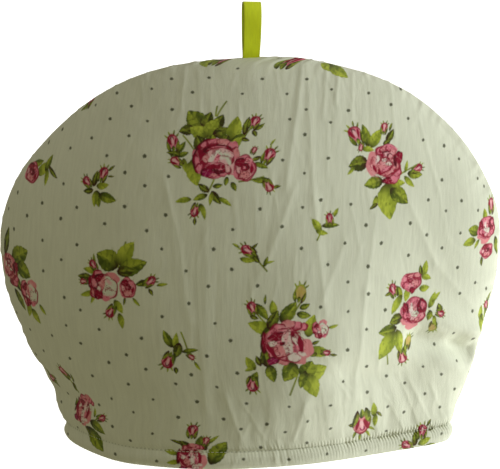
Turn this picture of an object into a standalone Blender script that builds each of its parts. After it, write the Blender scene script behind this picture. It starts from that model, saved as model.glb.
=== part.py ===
# Tea cosy of padded printed cotton, standing on its hem and hollow below, with a loop of tape on top.
# Two wadded panels, cut to the same arch, meet along an arch seam; each ends below in a stitched hem.
# Metres, +Z up. The front panel faces -Y. The origin is on the table, at the middle of the cosy.

import math

import bmesh
import bpy
import numpy as np
from mathutils.geometry import delaunay_2d_cdt

mm = 0.001

# Driving dimensions, in mm
crownHeight = 260.0      # table to the highest point of the arch seam
widestLevel = 135.0      # height at which the arch is widest; above it the outline is nearly an ellipse
widestReach = 165.6      # half the width there
hemReach = 128.4         # half the width at the hem
wallThickness = 7.0      # cloth, wadding and cloth
seamGap = 0.3            # between the two panels along the arch
hemHeight = 11.0         # stitched band at the bottom
hemSwell = 1.9           # how far the band stands out
hemTuck = 0.08           # share of the band's round that is turned under
stitchDip = 0.9          # how far the stitch line above the band is drawn in
stitchLevel = 12.2       # height of the stitch line
stitchSpread = 2.2
puckerStep = 1.4         # from the crest of a pucker in the band to the hollow beside it
puckerRise = 0.40
puckerEnd = 16.0         # they fade out at this height
puckerUneven = ((13.0, 0.3, 0.0), (4.7, 0.2, 1.0))      # each wave's length, strength and start
clothStep = 8.5          # spacing of the points of the outer face
liningStep = 15.0        # spacing of the points of the inner face
liningHemStep = 8.2      # and along its lower edge
edgeClear = 1.2          # rows above the hem stop this far from the seam
foldClear = 2.6          # least distance between a fold's points and others
stepClear = 0.55         # least distance between other points, as a share of their spacing
hexHeight = 0.866        # rows of evenly spread points
tapeEase = (1.5, 8.0)    # the seam is spread past the tape's edge, and closes over this distance
spreadDepth = (20.0, 8.0)       # the spread starts and is full this far below the crown
seamSteps = 46           # steps up each half of the arch seam
crestSteps = 9           # finer steps, on each side of the loop, that replace the last two
crownShift = 18.0        # the very top of the arch lies this far to the right
crownShiftPower = 60
crestTaper = 1.3         # how bluntly the belly closes to the crown

tapeWidth = 11.2
tapeThickness = 1.0
tapeAcross = 1.0         # the loop's place along the crest
tapeRise = 36.5          # top of the loop above the crest
tapeTuck = 6.0           # sewn between the panels
tapeBow = 3.9            # half of the loop's opening, front to back
tapeGap = 0.3
tapeFootRise = 1.2       # the two legs part this far above the crest
tapeFullness = 1.5       # how wide the loop stands open for its bow
tapeNarrowing = 0.8      # narrower at the foot, on the right
tapeSteps = 28

# Sections of the cosy from the hem up, in mm. left and right are how far the arch seam reaches, and belly
# is how far the front stands out. Above the widest level all three are those of an arch that has not
# closed yet. taperLeft and taperRight are how sharply a section runs in to the seam on each side, and
# lean is how much fuller it is to the left than to the right.
sectionColumns = ("height", "left", "right", "belly", "taperLeft", "taperRight", "lean")
sectionRows = np.array((
    (0.0, 123.0, 133.8, 58.0, 1.60, 1.08, 0.50),
    (5.0, 124.3, 135.0, 58.3, 1.60, 1.09, 0.50),
    (11.0, 125.5, 136.2, 59.0, 1.60, 1.11, 0.50),
    (15.0, 126.7, 137.0, 59.8, 1.60, 1.13, 0.49),
    (20.0, 129.2, 138.0, 61.0, 1.60, 1.16, 0.48),
    (27.0, 131.0, 140.0, 63.0, 1.58, 1.19, 0.46),
    (36.0, 132.6, 143.6, 65.6, 1.55, 1.23, 0.43),
    (44.0, 136.8, 146.4, 67.6, 1.52, 1.26, 0.40),
    (51.0, 139.8, 148.8, 70.0, 1.49, 1.27, 0.37),
    (61.0, 146.4, 151.2, 73.0, 1.45, 1.28, 0.33),
    (78.0, 153.0, 155.0, 77.2, 1.38, 1.30, 0.29),
    (95.0, 159.8, 159.6, 80.0, 1.33, 1.30, 0.26),
    (111.0, 163.6, 163.0, 81.0, 1.30, 1.30, 0.24),
    (135.0, 166.0, 165.2, 80.5, 1.30, 1.30, 0.22),
    (160.0, 165.6, 166.4, 79.0, 1.30, 1.30, 0.18),
    (184.0, 164.6, 166.4, 78.2, 1.30, 1.30, 0.15),
    (208.0, 162.4, 168.6, 77.6, 1.30, 1.30, 0.12),
    (224.0, 163.0, 172.0, 76.4, 1.30, 1.30, 0.10),
    (240.0, 167.0, 180.0, 75.2, 1.30, 1.30, 0.10),
    (250.0, 171.0, 187.0, 74.5, 1.30, 1.30, 0.10),
    (260.0, 174.0, 194.0, 74.0, 1.30, 1.30, 0.10),
))

front = {"side": -1.0, "belly": 1.00, "lean": 1.0}
back = {"side": 1.0, "belly": 0.99, "lean": 0.5}

tableRows = 260          # heights and section angles at which the cloth's length is measured
tableAngles = 241
tableShares = 401


def smoothColumn(rows, columns, name, heights):
    xs = rows[:, 0]
    ys = rows[:, columns.index(name)]
    slopes = np.gradient(ys, xs)
    low = np.clip(np.searchsorted(xs, heights, side="right") - 1, 0, len(xs) - 2)
    span = xs[low + 1] - xs[low]
    t = np.clip((heights - xs[low]) / span, 0.0, 1.0)
    risingPart = (2 * t**3 - 3 * t**2 + 1) * ys[low] + (t**3 - 2 * t**2 + t) * span * slopes[low]
    fallingPart = (3 * t**2 - 2 * t**3) * ys[low + 1] + (t**3 - t**2) * span * slopes[low + 1]
    return risingPart + fallingPart


def smoothStep(value, low, high):
    t = np.clip((value - low) / (high - low), 0.0, 1.0)
    return t * t * (3 - 2 * t)


def closeUp(height, crown):
    above = np.clip(height - widestLevel, 0.0, None) / (crown - widestLevel)
    return np.sqrt(np.clip(1.0 - above**2, 0.0, 1.0))


def hemBand(height):
    share = np.clip(height / hemHeight, 0.0, 1.0)
    band = hemSwell * np.sin(np.pi * (hemTuck + (1 - hemTuck) * share))
    return band - stitchDip * np.exp(-(((height - stitchLevel) / stitchSpread) ** 2))


def wallPoint(panel, inset, angle, height):
    # A point of the outer face, or of the face that lies inset mm inside it
    crown = crownHeight - inset
    angle, height = np.broadcast_arrays(angle, height)
    close = closeUp(height, crown)
    swell = hemBand(height) if inset == 0 else -inset
    column = {name: smoothColumn(sectionRows, sectionColumns, name, height) for name in sectionColumns}
    left = (column["left"] + swell) * close
    right = (column["right"] + swell) * close
    belly = (column["belly"] * panel["belly"] + swell) * close**crestTaper
    lean = column["lean"] * panel["lean"]
    climbShare = np.clip((height - widestLevel) / (crown - widestLevel), 0.0, 1.0)
    across = (right - left) / 2 + (right + left) / 2 * np.sin(angle)
    across = across + crownShift * climbShare**crownShiftPower
    taper = np.where(angle < 0, column["taperLeft"], column["taperRight"])
    out = belly * np.cos(angle) ** taper * (1 - lean * np.sin(angle))
    spread = tapeThickness + tapeGap - seamGap / 2
    edges = [tapeWidth / 2 + ease for ease in tapeEase]
    spread = spread * (1 - smoothStep(abs(across - tapeAcross), *edges))
    spread = spread * smoothStep(height, *[crown - depth for depth in spreadDepth])
    out = seamGap / 2 + np.maximum(out, spread)
    return np.stack([across, panel["side"] * out, height], axis=-1)


def clothTable(panel, inset):
    # Lengths of the cloth along sections and up the middle, so that it can be laid out flat
    crown = crownHeight - inset
    below = np.linspace(0.0, widestLevel, tableRows // 2, endpoint=False)
    above = widestLevel + (crown - widestLevel) * np.sin(np.linspace(0, np.pi / 2, tableRows // 2))
    heights = np.concatenate([below, above])
    angles = np.linspace(-np.pi / 2, np.pi / 2, tableAngles)
    grid = wallPoint(panel, inset, angles[None, :], heights[:, None])
    middle = tableAngles // 2
    steps = np.linalg.norm(np.diff(grid[:, :, :2], axis=1), axis=-1)
    along = np.concatenate([np.zeros((len(heights), 1)), np.cumsum(steps, axis=1)], axis=1)
    along -= along[:, middle:middle + 1]
    climb = np.linalg.norm(np.diff(grid[:, middle, 1:], axis=0), axis=-1)
    climb = np.concatenate([[0.0], np.cumsum(climb)])
    reachLeft = -along[:, 0]
    reachRight = along[:, -1]
    shares = np.linspace(-1, 1, tableShares)
    turned = []
    for row in range(len(heights)):
        reach = np.where(along[row] < 0, max(reachLeft[row], 1e-6), max(reachRight[row], 1e-6))
        turned.append(np.interp(shares, along[row] / reach, angles))
    turned[-1] = turned[-2]
    return {"panel": panel, "inset": inset, "crown": crown, "heights": heights, "climb": climb,
            "left": reachLeft, "right": reachRight, "shares": shares, "angles": np.array(turned)}


def reachAt(table, up, sideways):
    reach = np.where(sideways < 0, np.interp(up, table["climb"], table["left"]),
                     np.interp(up, table["climb"], table["right"]))
    return np.maximum(reach, 1e-6)


def laidPoint(table, sideways, up):
    # The place on the cosy of a point of the flat cloth, sideways and up from the middle of the hem
    share = np.clip(sideways / reachAt(table, up, sideways), -1, 1)
    rows = np.interp(up, table["climb"], np.arange(len(table["climb"])))
    low = np.clip(rows.astype(int), 0, len(table["climb"]) - 2)
    rowPart = rows - low
    columns = (share + 1) / 2 * (len(table["shares"]) - 1)
    first = np.clip(columns.astype(int), 0, len(table["shares"]) - 2)
    columnPart = columns - first
    angles = table["angles"]
    lower = angles[low, first] * (1 - columnPart) + angles[low, first + 1] * columnPart
    upper = angles[low + 1, first] * (1 - columnPart) + angles[low + 1, first + 1] * columnPart
    angle = lower * (1 - rowPart) + upper * rowPart
    height = table["heights"][low] * (1 - rowPart) + table["heights"][low + 1] * rowPart
    return wallPoint(table["panel"], table["inset"], angle, height)


def flatPlace(table, across, height):
    # The place in the flat cloth of a point that is seen at this distance across and this height
    ends = np.array([-np.pi / 2, np.pi / 2])
    section = wallPoint(table["panel"], table["inset"], ends, np.array([height] * 2))
    half = (section[1, 0] - section[0, 0]) / 2
    middle = (section[1, 0] + section[0, 0]) / 2
    angle = math.asin(max(-1.0, min(1.0, (across - middle) / half)))
    row = int(np.clip(np.searchsorted(table["heights"], height), 0, len(table["heights"]) - 1))
    up = float(np.interp(height, table["heights"], table["climb"]))
    share = float(np.interp(angle, table["angles"][row], table["shares"]))
    return share * float(reachAt(table, up, share)), up


# Folds and creases, in mm. Each runs from one place to another, given by its distance across and its
# height as seen from the front. width is its breadth and rise its height; a hollow has a negative rise.
foldColumns = ("across", "height", "toAcross", "toHeight", "width", "rise")
frontFolds = (
    (20, 0, 74, 0, 46, -1.6),
    (-84, 0, -80, 24, 34, 2.2),
    (116, 101, 150, 76, 19, 2.2),
    (110, 80, 151, 64, 15, -5.0),
    (128, 64, 148, 50, 13, 1.5),
    (64, 64, 99, 56, 24, -2.6),
    (58, 82, 94, 72, 24, 1.3),
    (-136, 62, -120, 55, 9, -2.0),
    (-132, 41, -114, 36, 9, -2.6),
    (-128, 16, -112, 14, 7, -1.2),
    (33, 252, 22, 186, 7, 1.1),
    (37, 250, 39, 179, 7, 1.0),
    (39, 179, 45, 109, 7, 0.8),
    (27, 186, 1, 123, 7, 0.8),
    (58, 152, 43, 117, 7, 0.7),
    (79, 168, 71, 120, 7, 0.6),
    (71, 120, 65, 50, 7, 0.7),
    (102, 172, 120, 131, 8, 0.8),
    (119, 133, 150, 92, 8, 0.7),
    (-54, 191, -39, 106, 7, 0.6),
    (-28, 160, -28, 42, 7, 0.7),
    (57, 246, 54, 226, 8, 0.7),
    (-16, 54, -6, 16, 8, 0.9),
    (12, 48, 17, 15, 8, 0.9),
    (33, 50, 25, 15, 8, 1.0),
    (51, 52, 55, 15, 8, 0.9),
    (66, 46, 67, 15, 8, 0.9),
    (79, 48, 84, 15, 8, 1.1),
    (90, 54, 101, 15, 8, 1.3),
    (103, 56, 116, 15, 8, 1.2),
    (-60, 36, -62, 15, 8, 0.6),
)
backFolds = (
    (-50, 0, 30, 0, 44, 1.5),
    (60, 245, 40, 150, 8, 0.9),
    (-30, 240, -44, 120, 8, 0.8),
    (10, 200, 24, 90, 8, 0.6),
    (-110, 82, -144, 68, 18, -3.0),
    (-90, 15, -80, 46, 9, 1.1),
    (-66, 15, -60, 44, 9, 1.2),
    (-40, 15, -36, 40, 8, 0.9),
    (-12, 15, -14, 46, 9, 1.2),
    (18, 15, 14, 38, 8, 0.9),
    (46, 15, 40, 48, 9, 1.2),
    (74, 15, 64, 42, 8, 1.0),
    (100, 15, 88, 50, 9, 1.2),
)
foldTail = 1.4           # how far a fold runs out past its ends, in half widths
foldSpacing = 11.0       # points along a fold
foldFlank = 0.75         # and on its flanks, as a share of its width
liningFollow = 0.8       # share of a broad hollow that shows on the inner face
broadFold = 12.0         # folds of this width or more need no points of their own
levelledHem = (4.0, 30.0)       # folds push straight out below the first height, square to the face above
seamFade = (0.5, 9.0)    # folds fade out over this distance from the seam, and puckers over the next
puckerFade = (0.5, 4.0)
onSeam = 0.05            # nearer than this is on the seam
hemRows = (3.0, 7.2, 11.6)      # heights of the rows of puckered points in the stitched band
looseRows = ((15.5, 2), (20.5, 4))      # rows above the band, and how many puckers they pass over


def foldRise(folds, across, height):
    total = np.zeros_like(across)
    for row in folds:
        fold = dict(zip(foldColumns, row))
        run = np.array([fold["toAcross"] - fold["across"], fold["toHeight"] - fold["height"]], float)
        length = np.hypot(*run)
        dx = across - fold["across"]
        dz = height - fold["height"]
        along = (dx * run[0] + dz * run[1]) / length
        aside = (dz * run[0] - dx * run[1]) / length
        past = np.maximum(np.maximum(-along, along - length), 0.0)
        half = fold["width"] / 2
        total += fold["rise"] * np.exp(-((aside / half) ** 2) - (past / (foldTail * half)) ** 2)
    return total


def puckers(table, sideways, up):
    hemPlace = sideways / reachAt(table, up, sideways)
    hemPlace = hemPlace * np.where(hemPlace < 0, table["left"][0], table["right"][0])
    turns = (hemPlace + table["left"][0]) * puckerCount(table) / hemLength(table)
    waves = [strength * np.sin(hemPlace / span + start) for span, strength, start in puckerUneven]
    unevenness = 1 + sum(waves)
    return puckerRise * np.cos(np.pi * turns) * unevenness * np.sin(np.pi * np.clip(up / puckerEnd, 0, 1))


def hemLength(table):
    return table["left"][0] + table["right"][0]


def puckerCount(table):
    return 2 * round(hemLength(table) / puckerStep / 2)


def liningCount(table):
    return round(hemLength(table) / liningHemStep)


def creasedPoint(table, folds, sideways, up):
    # The laid point, moved along the face's own direction by its folds
    place = laidPoint(table, sideways, up)
    nudge = 0.6
    right = laidPoint(table, sideways + nudge, up) - laidPoint(table, sideways - nudge, up)
    higher = laidPoint(table, sideways, up + nudge) - laidPoint(table, sideways, np.maximum(up - nudge, 0))
    facing = np.cross(right, higher) * -table["panel"]["side"]
    facing[:, 2] *= smoothStep(up, *levelledHem)
    facing /= np.maximum(np.linalg.norm(facing, axis=1, keepdims=True), 1e-9)
    inside = reachAt(table, up, sideways) - abs(sideways)
    fromSeam = np.minimum(inside, table["climb"][-1] - up)
    rise = foldRise(folds, place[:, 0], place[:, 2]) * smoothStep(fromSeam, *seamFade)
    if table["inset"] == 0:
        rise = rise + puckers(table, sideways, up) * smoothStep(fromSeam, *puckerFade)
    else:
        rise = rise * liningFollow
    moved = place + facing * rise[:, None]
    moved[up <= onSeam, 2] = 0.0
    moved[:, 1] = np.where(fromSeam < onSeam, place[:, 1], moved[:, 1])
    return moved


def seamPoints(table):
    # Points of the flat cloth's curved edge, from the left end of the hem over the top to the right end
    share = np.linspace(0.0, 1.0, seamSteps + 1)
    share = np.concatenate([share[:-3], np.linspace(share[-3], 1.0, crestSteps + 1)])
    lowLength = math.hypot(widestLevel, widestReach - hemReach)
    archLength = math.pi / 2 * (crownHeight - widestLevel + widestReach) / 2
    turn = np.clip((share * (lowLength + archLength) - lowLength) / archLength, 0, 1)
    straight = np.clip(share * (lowLength + archLength) / lowLength, 0, 1)
    heights = np.where(turn > 0, widestLevel + (table["crown"] - widestLevel) * np.sin(turn * np.pi / 2),
                       widestLevel * straight)
    ups = np.interp(heights, table["heights"], table["climb"])
    left = [(-float(reachAt(table, up, -1.0)), float(up)) for up in ups[:-1]]
    right = [(float(reachAt(table, up, 1.0)), float(up)) for up in ups[:-1]]
    return left + [(0.0, float(ups[-1]))] + right[::-1]


def hemPoints(table, count):
    places = np.linspace(-table["left"][0], table["right"][0], count + 1)[1:-1]
    return [(float(place), 0.0) for place in places[::-1]]


def hexPoints(table, step, lowest):
    highest = table["climb"][-1]
    points = []
    row = 0
    up = lowest
    while up < highest:
        shift = step / 2 if row % 2 else 0.0
        left = -float(reachAt(table, up, -1.0))
        right = float(reachAt(table, up, 1.0))
        points += [(float(x), up) for x in np.arange(left + shift, right, step)]
        up += step * hexHeight
        row += 1
    return points


def foldPoints(table, folds):
    points = []
    for row in folds:
        fold = dict(zip(foldColumns, row))
        start = np.array([fold["across"], fold["height"]], float)
        end = np.array([fold["toAcross"], fold["toHeight"]], float)
        if fold["width"] >= broadFold:
            continue
        length = np.linalg.norm(end - start)
        normal = np.array([-(end - start)[1], (end - start)[0]]) / length
        count = max(2, int(length / foldSpacing))
        for step in range(count + 1):
            for offset in (-foldFlank, 0.0, foldFlank):
                across, height = start + (end - start) * step / count + normal * offset * fold["width"]
                if 13 < height < table["crown"] - 1:
                    points.append(flatPlace(table, across, height))
    return points


def thinOut(points, kept, distance):
    # Leaves out each point that lies too near one already kept
    kept = np.array(kept)
    chosen = []
    for point in points:
        near = kept[np.abs(kept[:, 1] - point[1]) < distance]
        if len(near) and np.min(np.hypot(near[:, 0] - point[0], near[:, 1] - point[1])) < distance:
            continue
        chosen.append(point)
        kept = np.vstack([kept, point])
    return chosen


def clothFace(panel, folds, inset, hemCount, step, rows):
    # One face of a panel: its points in space, its triangles, and the numbers of its edge points in order
    table = clothTable(panel, inset)
    seam = seamPoints(table)
    edge = seam + hemPoints(table, hemCount(table))
    inner = []
    hemHalves = (table["left"][0], table["right"][0])
    for up, skip in rows:
        places = [x for x, y in hemPoints(table, hemCount(table))][skip - 1::skip]
        for place in places:
            scale = float(reachAt(table, up, place)) / (hemHalves[0] if place < 0 else hemHalves[1])
            inner.append((place * scale, up))
    inner = [p for p in inner if float(reachAt(table, p[1], p[0])) - abs(p[0]) > edgeClear]
    kept = edge + inner
    if inset == 0:
        placed = thinOut(foldPoints(table, folds), kept, foldClear)
        inner += placed
        kept = kept + placed
    lowest = rows[-1][0] + step * 0.7 if rows else step
    inner += thinOut(hexPoints(table, step, lowest), kept, step * stepClear)
    flat = edge + inner
    result = delaunay_2d_cdt(flat, [], [list(range(len(edge)))], 1, 1e-6)
    places, faces, origins = result[0], result[2], result[3]
    number = {}
    for index, sources in enumerate(origins):
        for source in sources:
            number[source] = index
    flatPlaces = np.array([(p.x, p.y) for p in places])
    spots = creasedPoint(table, folds, flatPlaces[:, 0], flatPlaces[:, 1])
    order = [number[i] for i in range(len(edge))]
    return {"spots": spots, "faces": [list(f) for f in faces], "seam": order[:len(seam)],
            "hem": order[len(seam):]}


def makeMaterial(name, colour, roughness):
    material = bpy.data.materials.new(name)
    material.use_nodes = True
    shader = material.node_tree.nodes["Principled BSDF"]
    shader.inputs["Base Color"].default_value = (*colour, 1.0)
    shader.inputs["Roughness"].default_value = roughness
    shader.inputs["Metallic"].default_value = 0.0
    return material


def addObject(name, bm, material):
    bmesh.ops.recalc_face_normals(bm, faces=bm.faces)
    mesh = bpy.data.meshes.new(name)
    bm.to_mesh(mesh)
    bm.free()
    if sum(p.center.dot(p.normal) * p.area for p in mesh.polygons) < 0:
        mesh.flip_normals()
    mesh.shade_smooth()
    mesh.set_sharp_from_angle(angle=math.radians(50))
    mesh.materials.append(material)
    piece = bpy.data.objects.new(name, mesh)
    bpy.context.collection.objects.link(piece)
    return piece


def makePanel(name, panel, folds, material):
    outer = clothFace(panel, folds, 0.0, puckerCount, clothStep, tuple((up, 1) for up in hemRows) + looseRows)
    lining = clothFace(panel, folds, wallThickness, liningCount, liningStep, ())
    bm = bmesh.new()
    outerVerts = [bm.verts.new(spot * mm) for spot in outer["spots"]]
    liningVerts = [bm.verts.new(spot * mm) for spot in lining["spots"]]
    for face in outer["faces"]:
        bm.faces.new([outerVerts[i] for i in face])
    for face in lining["faces"]:
        bm.faces.new([liningVerts[i] for i in reversed(face)])
    outerSeam = [outerVerts[i] for i in outer["seam"]]
    liningSeam = [liningVerts[i] for i in lining["seam"]]
    for first in range(len(outerSeam) - 1):
        bm.faces.new((outerSeam[first], liningSeam[first], liningSeam[first + 1], outerSeam[first + 1]))
    # The hem's underside is one flat face that stands on the table
    under = [outerSeam[-1]] + [outerVerts[i] for i in outer["hem"]] + [outerSeam[0], liningSeam[0]]
    under += [liningVerts[i] for i in reversed(lining["hem"])] + [liningSeam[-1]]
    bm.faces.new(under)
    return addObject(name, bm, material)


def crestHeight(across):
    # Height of the arch seam above this place, above the widest level
    heights = np.linspace(crownHeight - 30, crownHeight, 600)
    ends = wallPoint(front, 0.0, np.array([[-np.pi / 2, np.pi / 2]]), heights[:, None])
    inside = (ends[:, 0, 0] <= across) & (ends[:, 1, 0] >= across)
    return float(heights[inside].max())


def tapeLine(crest):
    # Middle line of the tape from its front foot, up and over to its back foot, as rows of (y, z)
    foot = crest + tapeFootRise
    top = crest + tapeRise - tapeThickness / 2
    turns = np.linspace(0.0, np.pi, tapeSteps + 1)
    share = np.sin(turns)
    open_ = np.sqrt(1 - share**4) * (tapeThickness / 2 + tapeBow * tapeFullness * share**0.7)
    y = np.where(turns < np.pi / 2, -open_, open_)
    y[tapeSteps // 2] = 0.0
    return np.stack([y, foot + (top - foot) * share], axis=1)


def makeLoop(name, material):
    crest = crestHeight(tapeAcross)
    line = tapeLine(crest)
    run = np.gradient(line, axis=0)
    run /= np.linalg.norm(run, axis=1, keepdims=True)
    aside = np.stack([-run[:, 1], run[:, 0]], axis=1) * tapeThickness / 2
    outer = line + aside
    inner = line - aside
    # Both feet meet in the middle, square to the crest
    for end, sign in ((0, -1), (-1, 1)):
        outer[end] = (sign * tapeThickness, line[end, 1])
        inner[end] = (0.0, line[end, 1])
    bm = bmesh.new()
    rows = []
    for index in range(len(line)):
        share = (line[index, 1] - crest) / tapeRise
        left = tapeAcross - tapeWidth / 2
        right = tapeAcross + tapeWidth / 2 - tapeNarrowing * (1 - share) ** 2
        rows.append([bm.verts.new(np.array((x, *spot)) * mm)
                     for x in (left, right) for spot in (outer[index], inner[index])])
    # The two inner feet are one edge
    rows[-1][1] = rows[0][1]
    rows[-1][3] = rows[0][3]
    for low, high in zip(rows[:-1], rows[1:]):
        bm.faces.new((low[0], low[1], high[1], high[0]))
        bm.faces.new((low[2], high[2], high[3], low[3]))
        bm.faces.new((low[0], high[0], high[2], low[2]))
        bm.faces.new((low[1], low[3], high[3], high[1]))
    left = tapeAcross - tapeWidth / 2
    right = tapeAcross + tapeWidth / 2 - tapeNarrowing
    bottom = crest - tapeTuck
    under = [bm.verts.new(np.array((x, y, bottom)) * mm)
             for x in (left, right) for y in (-tapeThickness, tapeThickness)]
    bm.faces.new((rows[0][0], under[0], under[1], rows[-1][0], rows[0][1]))
    bm.faces.new((rows[0][2], rows[0][3], rows[-1][2], under[3], under[2]))
    bm.faces.new((rows[0][0], rows[0][2], under[2], under[0]))
    bm.faces.new((rows[-1][0], under[1], under[3], rows[-1][2]))
    bm.faces.new((under[0], under[2], under[3], under[1]))
    bmesh.ops.delete(bm, geom=[v for v in bm.verts if not v.link_faces], context="VERTS")
    return addObject(name, bm, material)


def centreOnOrigin(pieces):
    # The middle of everything, seen from above, is brought over the origin
    spots = [vertex.co for piece in pieces for vertex in piece.data.vertices]
    for axis in (0, 1):
        middle = (min(s[axis] for s in spots) + max(s[axis] for s in spots)) / 2
        for piece in pieces:
            for vertex in piece.data.vertices:
                vertex.co[axis] -= middle


def main():
    for old in list(bpy.data.objects):
        bpy.data.objects.remove(old)
    cotton = makeMaterial("printed_cotton", (0.56, 0.58, 0.44), 0.75)
    backCotton = makeMaterial("printed_cotton_back", (0.56, 0.58, 0.44), 0.75)
    tape = makeMaterial("lime_tape", (0.35, 0.38, 0.02), 0.6)
    pieces = [makePanel("panel_front", front, frontFolds, cotton),
              makePanel("panel_back", back, backFolds, backCotton),
              makeLoop("hanging_loop", tape)]
    centreOnOrigin(pieces)


main()
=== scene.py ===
import math

import bmesh
import bpy
import numpy as np
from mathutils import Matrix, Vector
from mathutils.geometry import delaunay_2d_cdt


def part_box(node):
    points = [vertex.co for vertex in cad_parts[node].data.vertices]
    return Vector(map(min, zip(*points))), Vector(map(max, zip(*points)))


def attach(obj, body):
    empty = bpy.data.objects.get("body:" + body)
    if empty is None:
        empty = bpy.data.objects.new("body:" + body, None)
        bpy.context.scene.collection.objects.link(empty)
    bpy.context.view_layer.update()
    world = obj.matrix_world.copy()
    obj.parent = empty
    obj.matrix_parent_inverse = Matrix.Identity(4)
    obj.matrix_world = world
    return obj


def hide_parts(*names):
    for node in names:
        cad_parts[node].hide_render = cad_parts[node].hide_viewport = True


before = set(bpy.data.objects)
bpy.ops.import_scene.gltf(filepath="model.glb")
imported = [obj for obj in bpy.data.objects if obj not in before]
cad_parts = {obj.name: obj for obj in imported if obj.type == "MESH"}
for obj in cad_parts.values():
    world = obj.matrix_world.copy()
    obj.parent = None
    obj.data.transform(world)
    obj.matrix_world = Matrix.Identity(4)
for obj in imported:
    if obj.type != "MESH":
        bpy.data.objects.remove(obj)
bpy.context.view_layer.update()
mm = 0.001

# The cosy's form, in mm, as the frame has it
form = {
    "crown": 260.0, "widest": 135.0, "wall": 7.0, "seamGap": 0.3,
    "hem": 11.0, "hemSwell": 1.9, "hemTuck": 0.08,
    "stitchDip": 0.9, "stitchLevel": 12.2, "stitchSpread": 2.2,
    "tapeAcross": 1.0, "tapeWidth": 11.2, "tapeThickness": 1.0, "tapeGap": 0.3,
    "tapeEase": (1.5, 8.0), "spreadDepth": (20.0, 8.0),
    "crownShift": 18.0, "crownShiftPower": 60, "crestTaper": 1.3,
}
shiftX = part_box("hanging_loop")[0].x / mm + (form["tapeWidth"] / 2 - form["tapeAcross"])
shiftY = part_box("panel_front")[1].y / mm + form["seamGap"] / 2
print("frame loaded", round(shiftX, 2), round(shiftY, 2))

sectionColumns = ("height", "left", "right", "belly", "taperLeft", "taperRight", "lean")
sectionRows = np.array((
    (0.0, 123.0, 133.8, 58.0, 1.60, 1.08, 0.50),
    (5.0, 124.3, 135.0, 58.3, 1.60, 1.09, 0.50),
    (11.0, 125.5, 136.2, 59.0, 1.60, 1.11, 0.50),
    (15.0, 126.7, 137.0, 59.8, 1.60, 1.13, 0.49),
    (20.0, 129.2, 138.0, 61.0, 1.60, 1.16, 0.48),
    (27.0, 131.0, 140.0, 63.0, 1.58, 1.19, 0.46),
    (36.0, 132.6, 143.6, 65.6, 1.55, 1.23, 0.43),
    (44.0, 136.8, 146.4, 67.6, 1.52, 1.26, 0.40),
    (51.0, 139.8, 148.8, 70.0, 1.49, 1.27, 0.37),
    (61.0, 146.4, 151.2, 73.0, 1.45, 1.28, 0.33),
    (78.0, 153.0, 155.0, 77.2, 1.38, 1.30, 0.29),
    (95.0, 159.8, 159.6, 80.0, 1.33, 1.30, 0.26),
    (111.0, 163.6, 163.0, 81.0, 1.30, 1.30, 0.24),
    (135.0, 166.0, 165.2, 80.5, 1.30, 1.30, 0.22),
    (160.0, 165.6, 166.4, 79.0, 1.30, 1.30, 0.18),
    (184.0, 164.6, 166.4, 78.2, 1.30, 1.30, 0.15),
    (208.0, 162.4, 168.6, 77.6, 1.30, 1.30, 0.12),
    (224.0, 163.0, 172.0, 76.4, 1.30, 1.30, 0.10),
    (240.0, 167.0, 180.0, 75.2, 1.30, 1.30, 0.10),
    (250.0, 171.0, 187.0, 74.5, 1.30, 1.30, 0.10),
    (260.0, 174.0, 194.0, 74.0, 1.30, 1.30, 0.10),
))
laying = {"rows": 130, "columns": 241, "shares": 401, "least": 1e-6, "straight": 120, "archRadius": 180}


def smoothColumn(name, heights):
    xs = sectionRows[:, 0]
    ys = sectionRows[:, sectionColumns.index(name)]
    slopes = np.gradient(ys, xs)
    low = np.clip(np.searchsorted(xs, heights, side="right") - 1, 0, len(xs) - 2)
    span = xs[low + 1] - xs[low]
    t = np.clip((heights - xs[low]) / span, 0.0, 1.0)
    first = (2 * t**3 - 3 * t**2 + 1) * ys[low] + (t**3 - 2 * t**2 + t) * span * slopes[low]
    second = (3 * t**2 - 2 * t**3) * ys[low + 1] + (t**3 - t**2) * span * slopes[low + 1]
    return first + second


def smoothStep(value, low, high):
    t = np.clip((value - low) / (high - low), 0.0, 1.0)
    return t * t * (3 - 2 * t)


def wallPoint(panel, inset, angle, height):
    # a point of the outer face, or of the face that lies inset mm inside it
    crown = form["crown"] - inset
    angle, height = np.broadcast_arrays(angle, height)
    above = np.clip(height - form["widest"], 0.0, None) / (crown - form["widest"])
    close = np.sqrt(np.clip(1.0 - above**2, 0.0, 1.0))
    swell = -inset
    if inset == 0:
        share = np.clip(height / form["hem"], 0.0, 1.0)
        swell = form["hemSwell"] * np.sin(np.pi * (form["hemTuck"] + (1 - form["hemTuck"]) * share))
        dip = np.exp(-(((height - form["stitchLevel"]) / form["stitchSpread"]) ** 2))
        swell = swell - form["stitchDip"] * dip
    column = {name: smoothColumn(name, height) for name in sectionColumns}
    left = (column["left"] + swell) * close
    right = (column["right"] + swell) * close
    belly = (column["belly"] * panel["belly"] + swell) * close ** form["crestTaper"]
    lean = column["lean"] * panel["lean"]
    across = (right - left) / 2 + (right + left) / 2 * np.sin(angle)
    across = across + form["crownShift"] * np.clip(above, 0.0, 1.0) ** form["crownShiftPower"]
    taper = np.where(angle < 0, column["taperLeft"], column["taperRight"])
    out = belly * np.cos(angle) ** taper * (1 - lean * np.sin(angle))
    # the panels stand apart where the tape's foot is held
    spread = form["tapeThickness"] + form["tapeGap"] - form["seamGap"] / 2
    edges = [form["tapeWidth"] / 2 + ease for ease in form["tapeEase"]]
    spread = spread * (1 - smoothStep(abs(across - form["tapeAcross"]), *edges))
    spread = spread * smoothStep(height, *[crown - depth for depth in form["spreadDepth"]])
    out = form["seamGap"] / 2 + np.maximum(out, spread)
    return np.stack([across, panel["side"] * out, height], axis=-1)


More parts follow.
